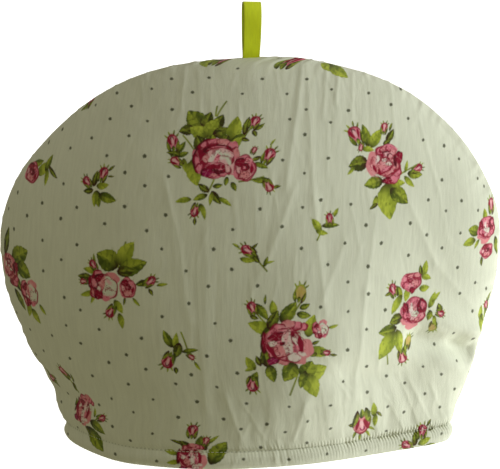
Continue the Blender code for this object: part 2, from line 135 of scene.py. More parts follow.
def clothTable(panel, inset):
    # lengths of the cloth along its sections and up the middle, so that it can be laid out flat
    crown = form["crown"] - inset
    middle = laying["columns"] // 2
    below = np.linspace(0.0, form["widest"], laying["rows"], endpoint=False)
    above = form["widest"] + (crown - form["widest"]) * np.sin(np.linspace(0, np.pi / 2, laying["rows"]))
    heights = np.concatenate([below, above])
    angles = np.linspace(-np.pi / 2, np.pi / 2, laying["columns"])
    grid = wallPoint(panel, inset, angles[None, :], heights[:, None])
    steps = np.linalg.norm(np.diff(grid[:, :, :2], axis=1), axis=-1)
    along = np.concatenate([np.zeros((len(heights), 1)), np.cumsum(steps, axis=1)], axis=1)
    along -= along[:, middle:middle + 1]
    climb = np.linalg.norm(np.diff(grid[:, middle, 1:], axis=0), axis=-1)
    climb = np.concatenate([[0.0], np.cumsum(climb)])
    shares = np.linspace(-1, 1, laying["shares"])
    turned = []
    for row in along:
        reach = np.where(row < 0, max(-row[0], laying["least"]), max(row[-1], laying["least"]))
        turned.append(np.interp(shares, row / reach, angles))
    turned[-1] = turned[-2]
    return {"panel": panel, "inset": inset, "crown": crown, "heights": heights, "climb": climb,
            "left": -along[:, 0], "right": along[:, -1], "shares": shares, "angles": np.array(turned)}


def reachAt(table, up, sideways):
    left = np.interp(up, table["climb"], table["left"])
    right = np.interp(up, table["climb"], table["right"])
    return np.maximum(np.where(sideways < 0, left, right), laying["least"])


def laidPoint(table, sideways, up):
    # the place on the cosy of a point of the flat cloth
    share = np.clip(sideways / reachAt(table, up, sideways), -1, 1)
    rows = np.interp(up, table["climb"], np.arange(len(table["climb"])))
    low = np.clip(rows.astype(int), 0, len(table["climb"]) - 2)
    rowPart = rows - low
    columns = (share + 1) / 2 * (len(table["shares"]) - 1)
    first = np.clip(columns.astype(int), 0, len(table["shares"]) - 2)
    columnPart = columns - first
    angles = table["angles"]
    lower = angles[low, first] * (1 - columnPart) + angles[low, first + 1] * columnPart
    upper = angles[low + 1, first] * (1 - columnPart) + angles[low + 1, first + 1] * columnPart
    angle = lower * (1 - rowPart) + upper * rowPart
    height = table["heights"][low] * (1 - rowPart) + table["heights"][low + 1] * rowPart
    return wallPoint(table["panel"], table["inset"], angle, height)


# Folds and creases, in mm. The folds follow the frame's own; the swells and creases are only here.
foldColumns = ("across", "height", "toAcross", "toHeight", "width", "rise")
frontFolds = (
    (20, 0, 74, 0, 46, -1.6), (-84, 0, -80, 24, 34, 2.2), (116, 101, 150, 76, 19, 2.2),
    (110, 80, 151, 64, 15, -5.0), (128, 64, 148, 50, 13, 1.5), (64, 64, 99, 56, 24, -2.6),
    (58, 82, 94, 72, 24, 1.3), (-136, 62, -120, 55, 9, -2.0), (-132, 41, -114, 36, 9, -2.6),
    (-128, 16, -112, 14, 7, -1.2), (33, 252, 22, 186, 7, 0.7), (37, 250, 39, 179, 7, 0.6),
    (39, 179, 45, 109, 7, 0.8), (27, 186, 1, 123, 7, 0.8), (58, 152, 43, 117, 7, 0.7),
    (79, 168, 71, 120, 7, 0.6), (71, 120, 65, 50, 7, 0.7), (102, 172, 120, 131, 8, 0.8),
    (119, 133, 150, 92, 8, 0.7), (-54, 191, -39, 106, 7, 0.6), (-28, 160, -28, 42, 7, 0.7),
    (57, 246, 54, 226, 8, 0.7), (-16, 54, -6, 16, 8, 0.9), (12, 48, 17, 15, 8, 0.9),
    (33, 50, 25, 15, 8, 1.0), (51, 52, 55, 15, 8, 0.9), (66, 46, 67, 15, 8, 0.9), (79, 48, 84, 15, 8, 1.1),
    (90, 54, 101, 15, 8, 1.3), (103, 56, 116, 15, 8, 1.2), (-60, 36, -62, 15, 8, 0.6),
)
frontSwells = (
    (46, 62, 48, 112, 84, 4.6), (17, 76, 17, 150, 90, 2.6), (120, 110, 122, 190, 64, -2.2),
    (38, 6, 38, 36, 110, 3.4), (149, 76, 153, 54, 11, 3.4), (138, 72, 145, 56, 12, -2.0),
    (124, 86, 142, 79, 13, 1.2),
)
backFolds = (
    (-50, 0, 30, 0, 44, 1.5), (60, 245, 40, 150, 8, 0.9), (-30, 240, -44, 120, 8, 0.8),
    (10, 200, 24, 90, 8, 0.6), (-110, 82, -144, 68, 18, -3.0), (-90, 15, -80, 46, 9, 1.1),
    (-66, 15, -60, 44, 9, 1.2), (-40, 15, -36, 40, 8, 0.9), (-12, 15, -14, 46, 9, 1.2),
    (18, 15, 14, 38, 8, 0.9), (46, 15, 40, 48, 9, 1.2), (74, 15, 64, 42, 8, 1.0), (100, 15, 88, 50, 9, 1.2),
)
frontCreases = (
    (33, 256, 22, 186, 2.6, 0.32), (36, 258, 39, 179, 2.4, 0.26), (39, 179, 45, 109, 2.2, 0.32),
    (27, 186, 8, 137, 2.2, 0.3), (8, 137, 1, 118, 2.4, -0.3), (58, 152, 43, 117, 2.4, 0.35),
    (79, 168, 71, 120, 2.2, 0.28), (71, 120, 65, 50, 2.4, 0.3), (102, 172, 120, 131, 2.6, 0.42),
    (110, 222, 122, 179, 2.6, 0.35), (122, 179, 130, 140, 2.6, 0.32), (119, 133, 151, 92, 2.6, 0.4),
    (-54, 191, -44, 153, 2.4, 0.28), (-44, 153, -39, 106, 2.4, 0.25), (-28, 160, -33, 144, 2.2, 0.28),
    (-33, 144, -32, 99, 2.2, 0.25), (-32, 99, -28, 42, 2.4, 0.28), (49, 255, 46, 226, 2.2, 0.35),
    (57, 252, 54, 234, 2.2, 0.35), (66, 250, 64, 226, 2.4, 0.3), (91, 242, 93, 213, 2.4, 0.3),
    (-42, 255, -44, 232, 2.4, 0.28), (-71, 247, -69, 236, 2.4, 0.3), (117, 96, 146, 80, 3.0, 0.6),
    (124, 89, 150, 68, 3.0, -0.6), (128, 70, 147, 56, 2.6, 0.5), (-16, 54, -7, 24, 2.6, 0.45),
    (-6, 50, 8, 22, 2.4, 0.4), (33, 50, 26, 21, 2.4, 0.45), (44, 57, 49, 20, 2.4, 0.45),
    (59, 55, 58, 19, 2.4, 0.4), (78, 44, 83, 18, 2.6, 0.5), (88, 43, 100, 17, 2.6, 0.55),
    (96, 58, 112, 16, 2.6, 0.6), (104, 52, 121, 14, 2.6, 0.6), (119, 46, 130, 16, 2.8, 0.6),
)
backCreases = (
    (62, 250, 44, 170, 2.4, 0.4), (-28, 250, -44, 150, 2.4, 0.35), (10, 210, 22, 100, 2.4, 0.3),
    (96, 200, 80, 120, 2.4, 0.3), (-90, 180, -70, 90, 2.4, 0.3), (-110, 82, -144, 68, 3.0, -0.6),
)

relief = {
    "tail": 1.4, "nudge": 0.6, "levelled": (4.0, 30.0), "seamFade": (0.5, 9.0), "ribFade": (0.5, 4.0),
    "broadShare": 0.34, "narrow": 12.0, "fineShare": 0.42, "highShare": 1.0,
    "high": (150.0, 220.0), "lining": 0.8, "edge": 0.05,
}
wrinkles = {"count": 130, "low": 20.0, "clear": 12.0, "reach": 0.93, "fan": 260.0,
            "sway": 0.22, "rise": 0.125,
            "length": (10.0, 46.0), "width": (1.3, 3.0), "uneven": (0.5, 1.3)}
puckers = {"rise": 0.85, "pitch": 4.2, "run": 30.0, "reach": 12.0, "start": (0.3, 3.0)}
streaks = {"rise": 0.06, "pitch": 5.5, "run": 45.0, "finer": 2.3, "finerRun": 30.0, "finerShare": 0.5,
           "reach": 80.0, "start": (2.0, 14.0), "above": (40.0, 110.0), "least": 0.6,
           "across": (-60.0, 40.0)}
gathers = {"rise": 0.40, "pitch": 4.4, "run": 36.0, "slant": 0.012, "level": 16.0, "reach": 22.0,
           "start": (13.5, 22.0), "least": 0.35, "across": (-70.0, 20.0)}
lumps = {"sizes": ((44.0, 52.0, 0.70), (17.0, 26.0, 0.20)), "fromSeam": (0.0, 16.0), "above": (12.0, 40.0)}
hemRibs = {"step": 1.10, "rise": 0.43, "end": 19.0, "slant": 0.16 * 1.4, "level": 6.0, "round": 0.8,
           "sway": 0.55, "swayRun": (9.0, 40.0), "uneven": 0.55, "unevenRun": (4.0, 6.0), "seed": 77,
           "peak": (13.5, 3.6), "low": 0.32, "least": 0.20, "across": (-15.0, 95.0)}


def unevenness(x, y, seed, count=97):
    # smooth random heights from -1 to 1, about one lump to each unit of x and y
    values = np.random.default_rng(seed).uniform(-1, 1, (count, count))
    column = np.floor(x).astype(int)
    row = np.floor(y).astype(int)
    tx = x - column
    ty = y - row
    tx = tx * tx * (3 - 2 * tx)
    ty = ty * ty * (3 - 2 * ty)
    low = values[row % count, column % count] * (1 - tx) + values[row % count, (column + 1) % count] * tx
    high = values[(row + 1) % count, column % count] * (1 - tx)
    high = high + values[(row + 1) % count, (column + 1) % count] * tx
    return low * (1 - ty) + high * ty


def strongest(settings, sideways):
    # weaker on the left of the cosy than on the right
    return settings["least"] + (1 - settings["least"]) * smoothStep(sideways, *settings["across"])


def foldRise(folds, across, height, eased=False):
    total = np.zeros_like(across)
    for row in folds:
        fold = dict(zip(foldColumns, row))
        run = np.array([fold["toAcross"] - fold["across"], fold["toHeight"] - fold["height"]], float)
        length = np.hypot(*run)
        half = fold["width"] / 2
        near = half * 4 + length / 2
        dx = across - fold["across"]
        dz = height - fold["height"]
        picked = (abs(dx - run[0] / 2) < near) & (abs(dz - run[1] / 2) < near)
        rise = fold["rise"] * (relief["broadShare"] if eased and fold["width"] < relief["narrow"] else 1.0)
        dx = dx[picked]
        dz = dz[picked]
        along = (dx * run[0] + dz * run[1]) / length
        aside = (dz * run[0] - dx * run[1]) / length
        past = np.maximum(np.maximum(-along, along - length), 0.0)
        total[picked] += rise * np.exp(-((aside / half) ** 2) - (past / (relief["tail"] * half)) ** 2)
    return total


def randomWrinkles(table, seed):
    # short soft wrinkles that fan out from the crown
    rng = np.random.default_rng(seed)
    rows = []
    for index in range(wrinkles["count"]):
        up = rng.uniform(wrinkles["low"], table["climb"][-1] - wrinkles["clear"])
        across = rng.uniform(-wrinkles["reach"], wrinkles["reach"]) * float(reachAt(table, up, 1.0))
        length = rng.uniform(*wrinkles["length"])
        angle = math.pi / 2 + across / wrinkles["fan"] + rng.normal(0, wrinkles["sway"])
        width = rng.uniform(*wrinkles["width"])
        rise = wrinkles["rise"] * rng.uniform(*wrinkles["uneven"]) * rng.choice((-1, 1, 1))
        end = (across - length * math.cos(angle), up - length * math.sin(angle))
        rows.append((across, up, *end, width, rise))
    return rows


def alongSeam(sideways, up):
    # how far round the arch a point lies, measured from the crown
    straight = laying["straight"]
    turn = np.pi / 2 - np.arctan2(np.clip(up - straight, 0, None), abs(sideways) + laying["least"])
    return np.sign(sideways) * (turn * laying["archRadius"] + np.clip(straight - up, 0, None))


def looseRise(sideways, up, fromSeam, seed):
    # puckers along the seam, streaks below them, gathers over the hem and soft lumps of the wadding
    side = alongSeam(sideways, up)
    rise = unevenness(side / puckers["pitch"], fromSeam / puckers["run"], seed) * puckers["rise"]
    rise = rise * np.exp(-fromSeam / puckers["reach"]) * smoothStep(fromSeam, *puckers["start"])
    lines = unevenness(side / streaks["pitch"], fromSeam / streaks["run"], seed + 1)
    finer = unevenness(side / streaks["pitch"] * streaks["finer"], fromSeam / streaks["finerRun"], seed + 2)
    lines = (lines + streaks["finerShare"] * finer) * strongest(streaks, sideways)
    lines = lines * np.exp(-fromSeam / streaks["reach"]) * smoothStep(fromSeam, *streaks["start"])
    rise = rise + streaks["rise"] * lines * smoothStep(up, *streaks["above"])
    pulled = np.exp(-np.clip(up - gathers["level"], 0, None) / gathers["reach"])
    pulled = pulled * smoothStep(up, *gathers["start"]) * strongest(gathers, sideways)
    rows = unevenness(sideways / gathers["pitch"] + up * gathers["slant"], up / gathers["run"], seed + 3)
    rise = rise + gathers["rise"] * rows * pulled
    for index, (wide, high, lift) in enumerate(lumps["sizes"]):
        lump = lift * unevenness(sideways / wide, up / high, seed + 4 + index)
        rise = rise + lump * smoothStep(fromSeam, *lumps["fromSeam"]) * smoothStep(up, *lumps["above"])
    return rise


def ribRise(table, sideways, up):
    # the ribs of the gathered hem band, sharpest round its stitches
    hemPlace = sideways / reachAt(table, up, sideways)
    hemPlace = hemPlace * np.where(hemPlace < 0, table["left"][0], table["right"][0])
    length = table["left"][0] + table["right"][0]
    count = 2 * round(length / hemRibs["step"] / 2)
    turns = (hemPlace + table["left"][0] + hemRibs["slant"] * (up - hemRibs["level"])) * count / length
    swayAcross, swayUp = hemRibs["swayRun"]
    turns = turns + hemRibs["sway"] * unevenness(hemPlace / swayAcross, up / swayUp, hemRibs["seed"])
    shape = np.cos(np.pi * turns)
    shape = np.sign(shape) * abs(shape) ** hemRibs["round"]
    wide, high = hemRibs["unevenRun"]
    uneven = 1 + hemRibs["uneven"] * unevenness(hemPlace / wide, up / high, hemRibs["seed"] + 1)
    level, spread = hemRibs["peak"]
    along = hemRibs["low"] * np.sin(np.pi * np.clip(up / hemRibs["end"], 0, 1))
    along = along + (1 - hemRibs["low"]) * np.exp(-((up - level) / spread) ** 2)
    return hemRibs["rise"] * shape * uneven * strongest(hemRibs, sideways) * along


def creasedPoint(table, folds, sideways, up, seed, lift=0.0):
    # the laid point, moved along the face's own direction by its folds
    place = laidPoint(table, sideways, up)
    nudge = relief["nudge"]
    right = laidPoint(table, sideways + nudge, up) - laidPoint(table, sideways - nudge, up)
    higher = laidPoint(table, sideways, up + nudge) - laidPoint(table, sideways, np.maximum(up - nudge, 0))
    facing = np.cross(right, higher) * -table["panel"]["side"]
    facing[:, 2] *= smoothStep(up, *relief["levelled"])
    facing /= np.maximum(np.linalg.norm(facing, axis=1, keepdims=True), 1e-9)
    inside = reachAt(table, up, sideways) - abs(sideways)
    fromSeam = np.minimum(inside, table["climb"][-1] - up)
    fade = smoothStep(fromSeam, *relief["seamFade"])
    rise = foldRise(folds["broad"], place[:, 0], place[:, 2], eased=True) * fade
    if table["inset"] == 0:
        share = relief["fineShare"] * (1 + relief["highShare"] * smoothStep(place[:, 2], *relief["high"]))
        rise = rise + foldRise(folds["fine"], place[:, 0], place[:, 2]) * fade * share
        rise = rise + foldRise(folds["random"], sideways, up) * fade
        rise = rise + looseRise(sideways, up, fromSeam, seed)
        rise = rise + ribRise(table, sideways, up) * smoothStep(fromSeam, *relief["ribFade"])
    else:
        rise = rise * relief["lining"]
    creased = place + facing * (rise + lift)[:, None]
    creased[up <= relief["edge"], 2] = 0.0
    creased[:, 1] = np.where(fromSeam < relief["edge"], place[:, 1], creased[:, 1])
    return creased


# The print, and the painted shadows of the needle holes. Colours are as they look in plain light; places and
# sizes are in mm on the flat cloth.
palette = {
    "ground": (226, 230, 208), "dot": (100, 104, 82),
    "crimson": (150, 6, 46), "wine": (88, 0, 20), "pink": (232, 132, 150), "salmon": (228, 144, 148),
    "blush": (240, 188, 190), "magenta": (160, 24, 84), "pale": (236, 224, 214), "mint": (224, 228, 208),
    "lime": (192, 204, 70), "olive": (154, 168, 48), "green": (96, 114, 28), "dark": (42, 54, 6),
    "bark": (62, 22, 8), "sand": (196, 172, 92),
}


def linear(name):
    shade = np.array(palette[name], float) / 255
    return np.where(shade <= 0.04045, shade / 12.92, ((shade + 0.055) / 1.055) ** 2.4)


inks = {name: linear(name) for name in palette}
sheetGrid = {"step": 0.55, "reach": 215.0, "soft": 0.42}


def blankSheet(height):
    step = sheetGrid["step"]
    columns = int(2 * sheetGrid["reach"] / step)
    rows = int(height / step) + 2
    u = -sheetGrid["reach"] + step * (np.arange(columns)[None, :] + 0.5 * (np.arange(rows)[:, None] % 2))
    v = step * np.arange(rows)[:, None] + np.zeros((1, columns))
    colour = np.zeros((rows, columns, 3)) + inks["ground"]
    return {"u": u, "v": v, "colour": colour, "inked": np.zeros((rows, columns))}


def ahead(place, turn, distance, aside=0.0):
    cosine = math.cos(math.radians(turn))
    sine = math.sin(math.radians(turn))
    return (place[0] + distance * cosine - aside * sine, place[1] + distance * sine + aside * cosine)


def localBlock(sheet, place, turn, reach):
    # part of the sheet round a place, with its distances along and across the direction of turn
    step = sheetGrid["step"]
    rows, columns = sheet["u"].shape
    column = int((place[0] + sheetGrid["reach"]) / step)
    row = int(place[1] / step)
    span = int(reach / step) + 2
    block = (slice(max(0, row - span), max(0, min(rows, row + span + 1))),
             slice(max(0, column - span), max(0, min(columns, column + span + 1))))
    dx = sheet["u"][block] - place[0]
    dy = sheet["v"][block] - place[1]
    cosine = math.cos(math.radians(turn))
    sine = math.sin(math.radians(turn))
    return block, dx * cosine + dy * sine, dy * cosine - dx * sine


def ink(sheet, block, cover, colour):
    patch = sheet["colour"][block]
    patch += (colour - patch) * cover[..., None]
    sheet["inked"][block] = np.maximum(sheet["inked"][block], cover)


def mixed(first, second, share):
    return first + (second - first) * share[..., None]


petalPaint = {"strokes": 4, "strokeDepth": 0.42, "gleam": 0.20, "line": 0.95, "lineStrength": 0.92,
              "foot": 0.90, "edge": 1.04, "plainBelow": 1.2}


def petal(sheet, place, size, turn, colour, rim=None, wave=0.0, line=0.45, turnRim=0.0):
    # a rounded patch with a darker line round it that swells and thins like a brush line
    long, wide = size
    block, x, y = localBlock(sheet, place, turn, max(size) * 1.35 + 1)
    if x.size == 0:
        return
    angle = np.arctan2(y / wide, x / long)
    edge = 1 + wave * np.cos(5 * angle + place[0]) + 0.04 * np.sin(3 * angle + place[1])
    inside = (edge - np.hypot(x / long, y / wide)) * min(long, wide)
    soft = sheetGrid["soft"]
    shade = np.clip(0.5 + inside / max(min(long, wide), 0.5) * 0.5, 0, 1)
    tone = mixed(inks[colour] * petalPaint["foot"], inks[colour] * petalPaint["edge"], shade)
    if rim and min(long, wide) > petalPaint["plainBelow"]:
        # brush strokes of the rim's colour run in from the edge
        stroke = np.sin(angle * petalPaint["strokes"] + np.hypot(x, y) * 1.3 + place[0] * 2)
        stroke = smoothStep(stroke, 0.45, 0.95) * smoothStep(np.hypot(x / long, y / wide), 0.35, 0.9)
        tone = mixed(tone, inks[rim], stroke * petalPaint["strokeDepth"])
        gleam = smoothStep(-np.sin(angle * 4 + place[1] * 2), 0.6, 0.98) * (1 - stroke)
        tone = mixed(tone, inks["blush"], gleam * petalPaint["gleam"])
    ink(sheet, block, np.clip(0.5 + inside / soft, 0, 1), tone)
    if rim:
        width = 0.62 + 0.62 * np.cos(angle - turnRim) + 0.25 * np.sin(4 * angle + place[0] * 3)
        width = width * line * petalPaint["line"]
        ring = np.clip(0.5 + (width - abs(inside - width * 0.4)) / soft, 0, 1) * (width > 0.05)
        ink(sheet, block, ring * petalPaint["lineStrength"], inks[rim])


# each kind of leaf: its light, middle and dark ink, and how dark its outline is
leafKinds = {"leaf": ("olive", "green", "dark", 0.30), "lime": ("lime", "olive", "green", 0.18),
             "deep": ("green", "dark", "bark", 0.42), "tip": ("olive", "dark", "bark", 0.40)}
leafPaint = {"grow": 1.13, "spread": 1.04, "teeth": 6.0, "bite": 0.16, "bright": 0.55, "shadow": 0.9,
             "darkBrush": 0.45, "lightBrush": 0.65, "veins": 26, "vein": 0.40, "rib": 0.6,
             "foot": ((0.30, 0.95), (0.16, 0.6)), "seed": 5}


def lineSpan(x, length, soft):
    # 1 along the length of a leaf or a stem, fading out at both ends
    ends = np.minimum(x + length / 2, length / 2 - x)
    return np.clip(0.5 + ends / soft, 0, 1)


def leaf(sheet, place, turn, length, kind, breadth=0.5, bend=0.12):
    # a toothed leaf in three brushed tones, dark at its foot and down one side
    length = length * leafPaint["grow"]
    breadth = breadth * leafPaint["spread"]
    block, x, y = localBlock(sheet, place, turn, length * 0.6 + 1)
    if x.size == 0:
        return
    share = np.clip(x / length + 0.5, 0, 1)
    side = 1 if int(abs(place[0]) * 7) % 2 else -1
    y = y - bend * length * (0.25 - (share - 0.5) ** 2) * side
    half = breadth * length / 2 * np.sin(np.pi * share ** 0.82) ** 0.8
    teeth = abs(((share * leafPaint["teeth"] + abs(y) / length * 2) % 1.0) - 0.5)
    half = half * (1 + leafPaint["bite"] * (teeth - 0.25))
    inside = half - abs(y)
    cover = np.clip(0.5 + inside / sheetGrid["soft"], 0, 1) * lineSpan(x, length, 0.5)
    light, middle, dark = (inks[name] for name in leafKinds[kind][:3])
    across = y / np.maximum(half, 0.3) * side
    bright = light + (inks["lime"] - light) * leafPaint["bright"]
    tone = mixed(bright, light, smoothStep(across, 0.0, 0.6))
    tone = mixed(tone, middle, smoothStep(-across, -0.10, 0.20) * leafPaint["shadow"])
    brush = unevenness(x / 2.6 + place[0], y / 1.1 + place[1] + x / 5.0, leafPaint["seed"])
    tone = mixed(tone, dark, smoothStep(brush, 0.25, 0.65) * leafPaint["darkBrush"])
    tone = mixed(tone, bright, smoothStep(-brush, 0.30, 0.70) * leafPaint["lightBrush"])
    veins = smoothStep(np.sin(share * leafPaint["veins"] - abs(across) * 4.0), 0.55, 0.95)
    tone = mixed(tone, dark, veins * (abs(across) > 0.12) * leafPaint["vein"])
    for colour, (reach, depth) in zip((dark, inks["bark"]), leafPaint["foot"]):
        tone = mixed(tone, colour, np.exp(-((share / reach) ** 2)) * depth)
    outline = 1 - smoothStep(inside, 0.1, 0.75)
    tone = mixed(tone, dark, outline * leafKinds[kind][3])
    ink(sheet, block, cover, tone)
    rib = np.clip(0.6 - abs(y) / 0.45, 0, 1) * cover * (share > 0.1) * (share < 0.85)
    ink(sheet, block, rib * leafPaint["rib"], dark if kind != "deep" else inks["olive"])


def stem(sheet, place, turn, length, width=0.55, bend=0.10):
    middle = ahead(place, turn, length / 2)
    block, x, y = localBlock(sheet, middle, turn, length * 0.6 + 1)
    if x.size == 0:
        return
    share = np.clip(x / length + 0.5, 0, 1)
    y = y - bend * length * (0.25 - (share - 0.5) ** 2)
    cover = np.clip(0.5 + (width - abs(y)) / 0.5, 0, 1) * lineSpan(x, length, 0.5)
    ink(sheet, block, cover, mixed(inks["olive"], inks["dark"], share * 0.5))


budInks = {"bud": ("pink", "crimson", "wine"), "paleBud": ("salmon", "crimson", "blush"),
           "greenBud": ("sand", "olive", "lime"), "fatBud": ("salmon", "crimson", "magenta")}
# how far a sepal turns from the bud and how far out it lies; then the petals, as shares of the bud's size:
# along, aside, length, width, how it turns and which ink
budSepals = ((-38, 0.62), (-14, 0.72), (18, 0.66), (44, 0.6))
budPetals = ((0.06, 0.17, 0.26, 0.08, 16, 1), (0, -0.15, 0.24, 0.06, -16, 1),
             (0.20, 0.02, 0.13, 0.10, 20, 2), (0.04, 0, 0.22, 0.07, 6, 3))


def bud(sheet, place, turn, size, kind):
    tones = budInks[kind] + ("blush",)
    for spread, reach in budSepals:
        leaf(sheet, ahead(place, turn + spread, size * reach * 0.78), turn + spread, size * 0.30,
             "lime" if spread > 0 else "leaf", 0.3)
    petal(sheet, place, (size * 0.42, size * 0.32), turn, tones[0], rim=tones[1], line=0.5, turnRim=0.6)
    if kind != "greenBud":
        for along, aside, long, wide, bent, tone in budPetals:
            spot = ahead(place, turn, size * along, size * aside)
            petal(sheet, spot, (size * long, size * wide), turn + bent, tones[tone])
    for side in (-1, 1):
        leaf(sheet, ahead(place, turn, -size * 0.26, side * size * 0.24), turn + side * 14, size * 0.62,
             "leaf" if side > 0 else "tip", 0.30)
    leaf(sheet, ahead(place, turn, -size * 0.42, 0), turn + 180, size * 0.34, "leaf", 0.5)


# Petals of each kind of rose, from the back to the front, in hundredths of its half width and height
petalColumns = ("x", "y", "long", "wide", "turn", "colour", "rim")
roseKinds = {
    "wide": (
        (-46, 58, 42, 30, 32, "crimson", "wine"), (-52, 66, 16, 12, 40, "pink"),
        (-8, 74, 36, 24, 4, "pink", "crimson"), (32, 72, 34, 24, -12, "salmon", "crimson"),
        (70, 54, 24, 30, -20, "pink", "crimson"), (82, 14, 20, 40, 4, "salmon", "crimson"),
        (-82, 16, 20, 28, 12, "pink", "crimson"), (-66, -16, 34, 58, 8, "crimson", "wine"),
        (-78, -20, 10, 26, 14, "pink"), (-62, -52, 22, 24, 30, "pink", "crimson"),
        (8, 40, 62, 26, 0, "crimson", "wine"), (12, 52, 30, 7, 0, "pink"),
        (70, -34, 26, 48, 6, "blush", "pink"), (14, 2, 66, 48, 4, "salmon", "crimson"),
        (22, 10, 54, 38, -8, "blush"), (30, 16, 36, 24, -14, "pale"), (-12, 2, 12, 34, -35, "pale"),
        (6, -2, 10, 30, -20, "pink"), (20, 20, 24, 6, -40, "mint"), (52, -6, 10, 34, 26, "mint"),
        (0, -60, 60, 40, 0, "pink", "crimson"), (-34, -70, 26, 20, 26, "magenta", "wine"),
        (-14, -44, 24, 12, 12, "crimson"), (-2, -80, 22, 12, 0, "salmon", "magenta"),
        (32, -76, 22, 14, -15, "pink", "crimson"), (24, -54, 30, 22, 10, "crimson", "wine"),
        (20, -58, 16, 8, 14, "pink", "wine"), (56, -56, 12, 24, 20, "blush", "crimson"),
    ),
    "open": (
        (80, -24, 32, 42, 0, "salmon"), (46, -70, 34, 26, -20, "salmon"),
        (72, 70, 20, 16, 20, "pink", "crimson"), (42, 76, 26, 20, 0, "pink", "crimson"),
        (12, 82, 28, 20, 0, "salmon", "crimson"), (-30, 60, 34, 24, 20, "pink", "crimson"),
        (-86, 2, 16, 46, -6, "crimson", "wine"), (-30, -66, 44, 30, -20, "salmon", "crimson"),
        (-58, -80, 26, 17, 20, "magenta", "wine"), (-10, -4, 76, 72, 0, "pink", "crimson"),
        (-36, 28, 36, 18, 14, "crimson", "wine"), (-54, -6, 22, 16, 0, "pale", "crimson"),
        (-22, -34, 34, 32, 20, "salmon", "crimson"), (10, 16, 26, 50, -8, "pale", "pink"),
        (38, 22, 16, 32, 14, "pale", "crimson"), (2, 24, 8, 34, -14, "blush"),
        (-16, -2, 10, 7, 20, "crimson", "wine"), (30, 36, 6, 10, 0, "wine"), (58, -6, 10, 40, 8, "crimson"),
        (10, -34, 16, 28, 0, "pale"), (66, -52, 22, 12, -20, "pale", "salmon"),
        (26, -66, 30, 22, 0, "pale", "crimson"), (-62, -36, 10, 34, 34, "crimson"),
    ),
    "round": (
        (-62, 4, 36, 62, 4, "salmon"), (50, -70, 38, 30, -10, "pink", "crimson"),
        (20, -84, 26, 16, 0, "crimson", "wine"), (10, 62, 60, 36, 0, "pink", "crimson"),
        (80, 24, 22, 36, -8, "crimson", "wine"), (74, -42, 24, 26, 0, "pink", "crimson"),
        (20, -16, 66, 48, 0, "salmon", "crimson"), (-34, 26, 14, 24, -20, "pale", "crimson"),
        (-12, 72, 20, 14, 30, "salmon", "crimson"), (22, 76, 20, 14, -20, "pink", "crimson"),
        (10, 46, 24, 16, 10, "pink", "wine"), (46, 56, 16, 22, 20, "salmon", "crimson"),
        (2, 22, 20, 12, 10, "pale", "crimson"), (28, 0, 22, 12, -14, "mint", "crimson"),
        (2, 52, 16, 10, -30, "blush", "wine"), (30, 34, 14, 18, 30, "salmon", "wine"),
        (6, -30, 44, 12, 24, "pink", "crimson"), (36, -44, 34, 10, 24, "salmon", "crimson"),
        (-52, -20, 8, 22, 30, "crimson"), (-24, -40, 8, 20, 20, "crimson"), (60, 10, 10, 30, 10, "wine"),
    ),
    "half": (
        (50, 50, 46, 40, 0, "salmon", "pink"), (-40, 70, 34, 26, 20, "pink", "crimson"),
        (-70, 20, 32, 48, 0, "crimson", "wine"), (-50, -40, 40, 44, 20, "pink", "crimson"),
        (20, -10, 66, 72, 0, "blush", "crimson"), (30, 0, 50, 60, 0, "mint"),
        (-30, 50, 34, 22, 30, "crimson", "wine"), (-60, 10, 20, 34, 20, "pink", "wine"),
        (-10, 10, 16, 50, -14, "salmon"), (10, -74, 26, 18, 0, "pink"),
        (-36, -52, 30, 30, 0, "crimson", "wine"), (-30, -20, 14, 20, 30, "pale", "crimson"),
        (30, 30, 18, 10, -30, "blush"), (-74, -36, 12, 22, 10, "salmon", "crimson"),
    ),
    "ring": (
        (-10, -86, 50, 34, 10, "salmon"), (-60, -50, 34, 30, 0, "salmon"),
        (0, 6, 94, 88, 0, "pink", "crimson"), (-62, 24, 22, 46, 10, "crimson", "wine"),
        (56, 30, 34, 48, -10, "crimson", "wine"), (60, 34, 20, 28, 20, "pink", "wine"),
        (-10, 20, 24, 52, 6, "pale", "pink"), (2, 26, 8, 34, 10, "salmon"), (10, -16, 26, 22, 0, "mint"),
        (-56, -20, 22, 24, 20, "pink", "crimson"), (56, -36, 28, 26, -20, "pink", "crimson"),
        (-8, -50, 26, 20, 0, "blush", "crimson"), (28, -60, 24, 16, 0, "salmon", "crimson"),
        (-34, -50, 10, 24, 40, "crimson"),
    ),
    "small": (
        (0, 0, 90, 90, 0, "pink", "crimson"), (-30, 44, 40, 30, 20, "crimson", "wine"),
        (36, 40, 36, 32, -20, "pink", "crimson"), (0, -44, 56, 34, 0, "salmon", "crimson"),
        (6, 6, 34, 26, 0, "crimson", "wine"), (4, 4, 16, 12, 0, "pink", "wine"),
        (-50, -10, 16, 32, 10, "blush", "crimson"), (56, -16, 14, 28, -10, "crimson"),
    ),
    "heart": (
        (0, 0, 96, 86, 0, "pink", "crimson"), (10, -80, 24, 30, 0, "crimson", "wine"),
        (-60, 30, 30, 30, 0, "pink", "crimson"), (50, 50, 34, 26, 0, "salmon", "crimson"),
        (-10, 10, 22, 20, 0, "crimson", "wine"), (-4, 14, 10, 8, 0, "pink"),
        (40, -10, 36, 40, 20, "salmon", "crimson"), (-50, -30, 30, 30, 0, "pink", "crimson"),
        (-10, 56, 30, 18, 0, "salmon", "crimson"),
    ),
}
roseBrush = {"round": 2.4, "out": 4.2, "curl": 3.4, "light": 0.50, "deep": 0.60, "rim": 0.11, "line": 0.85,
             "end": (0.72, 0.92), "seed": 15}


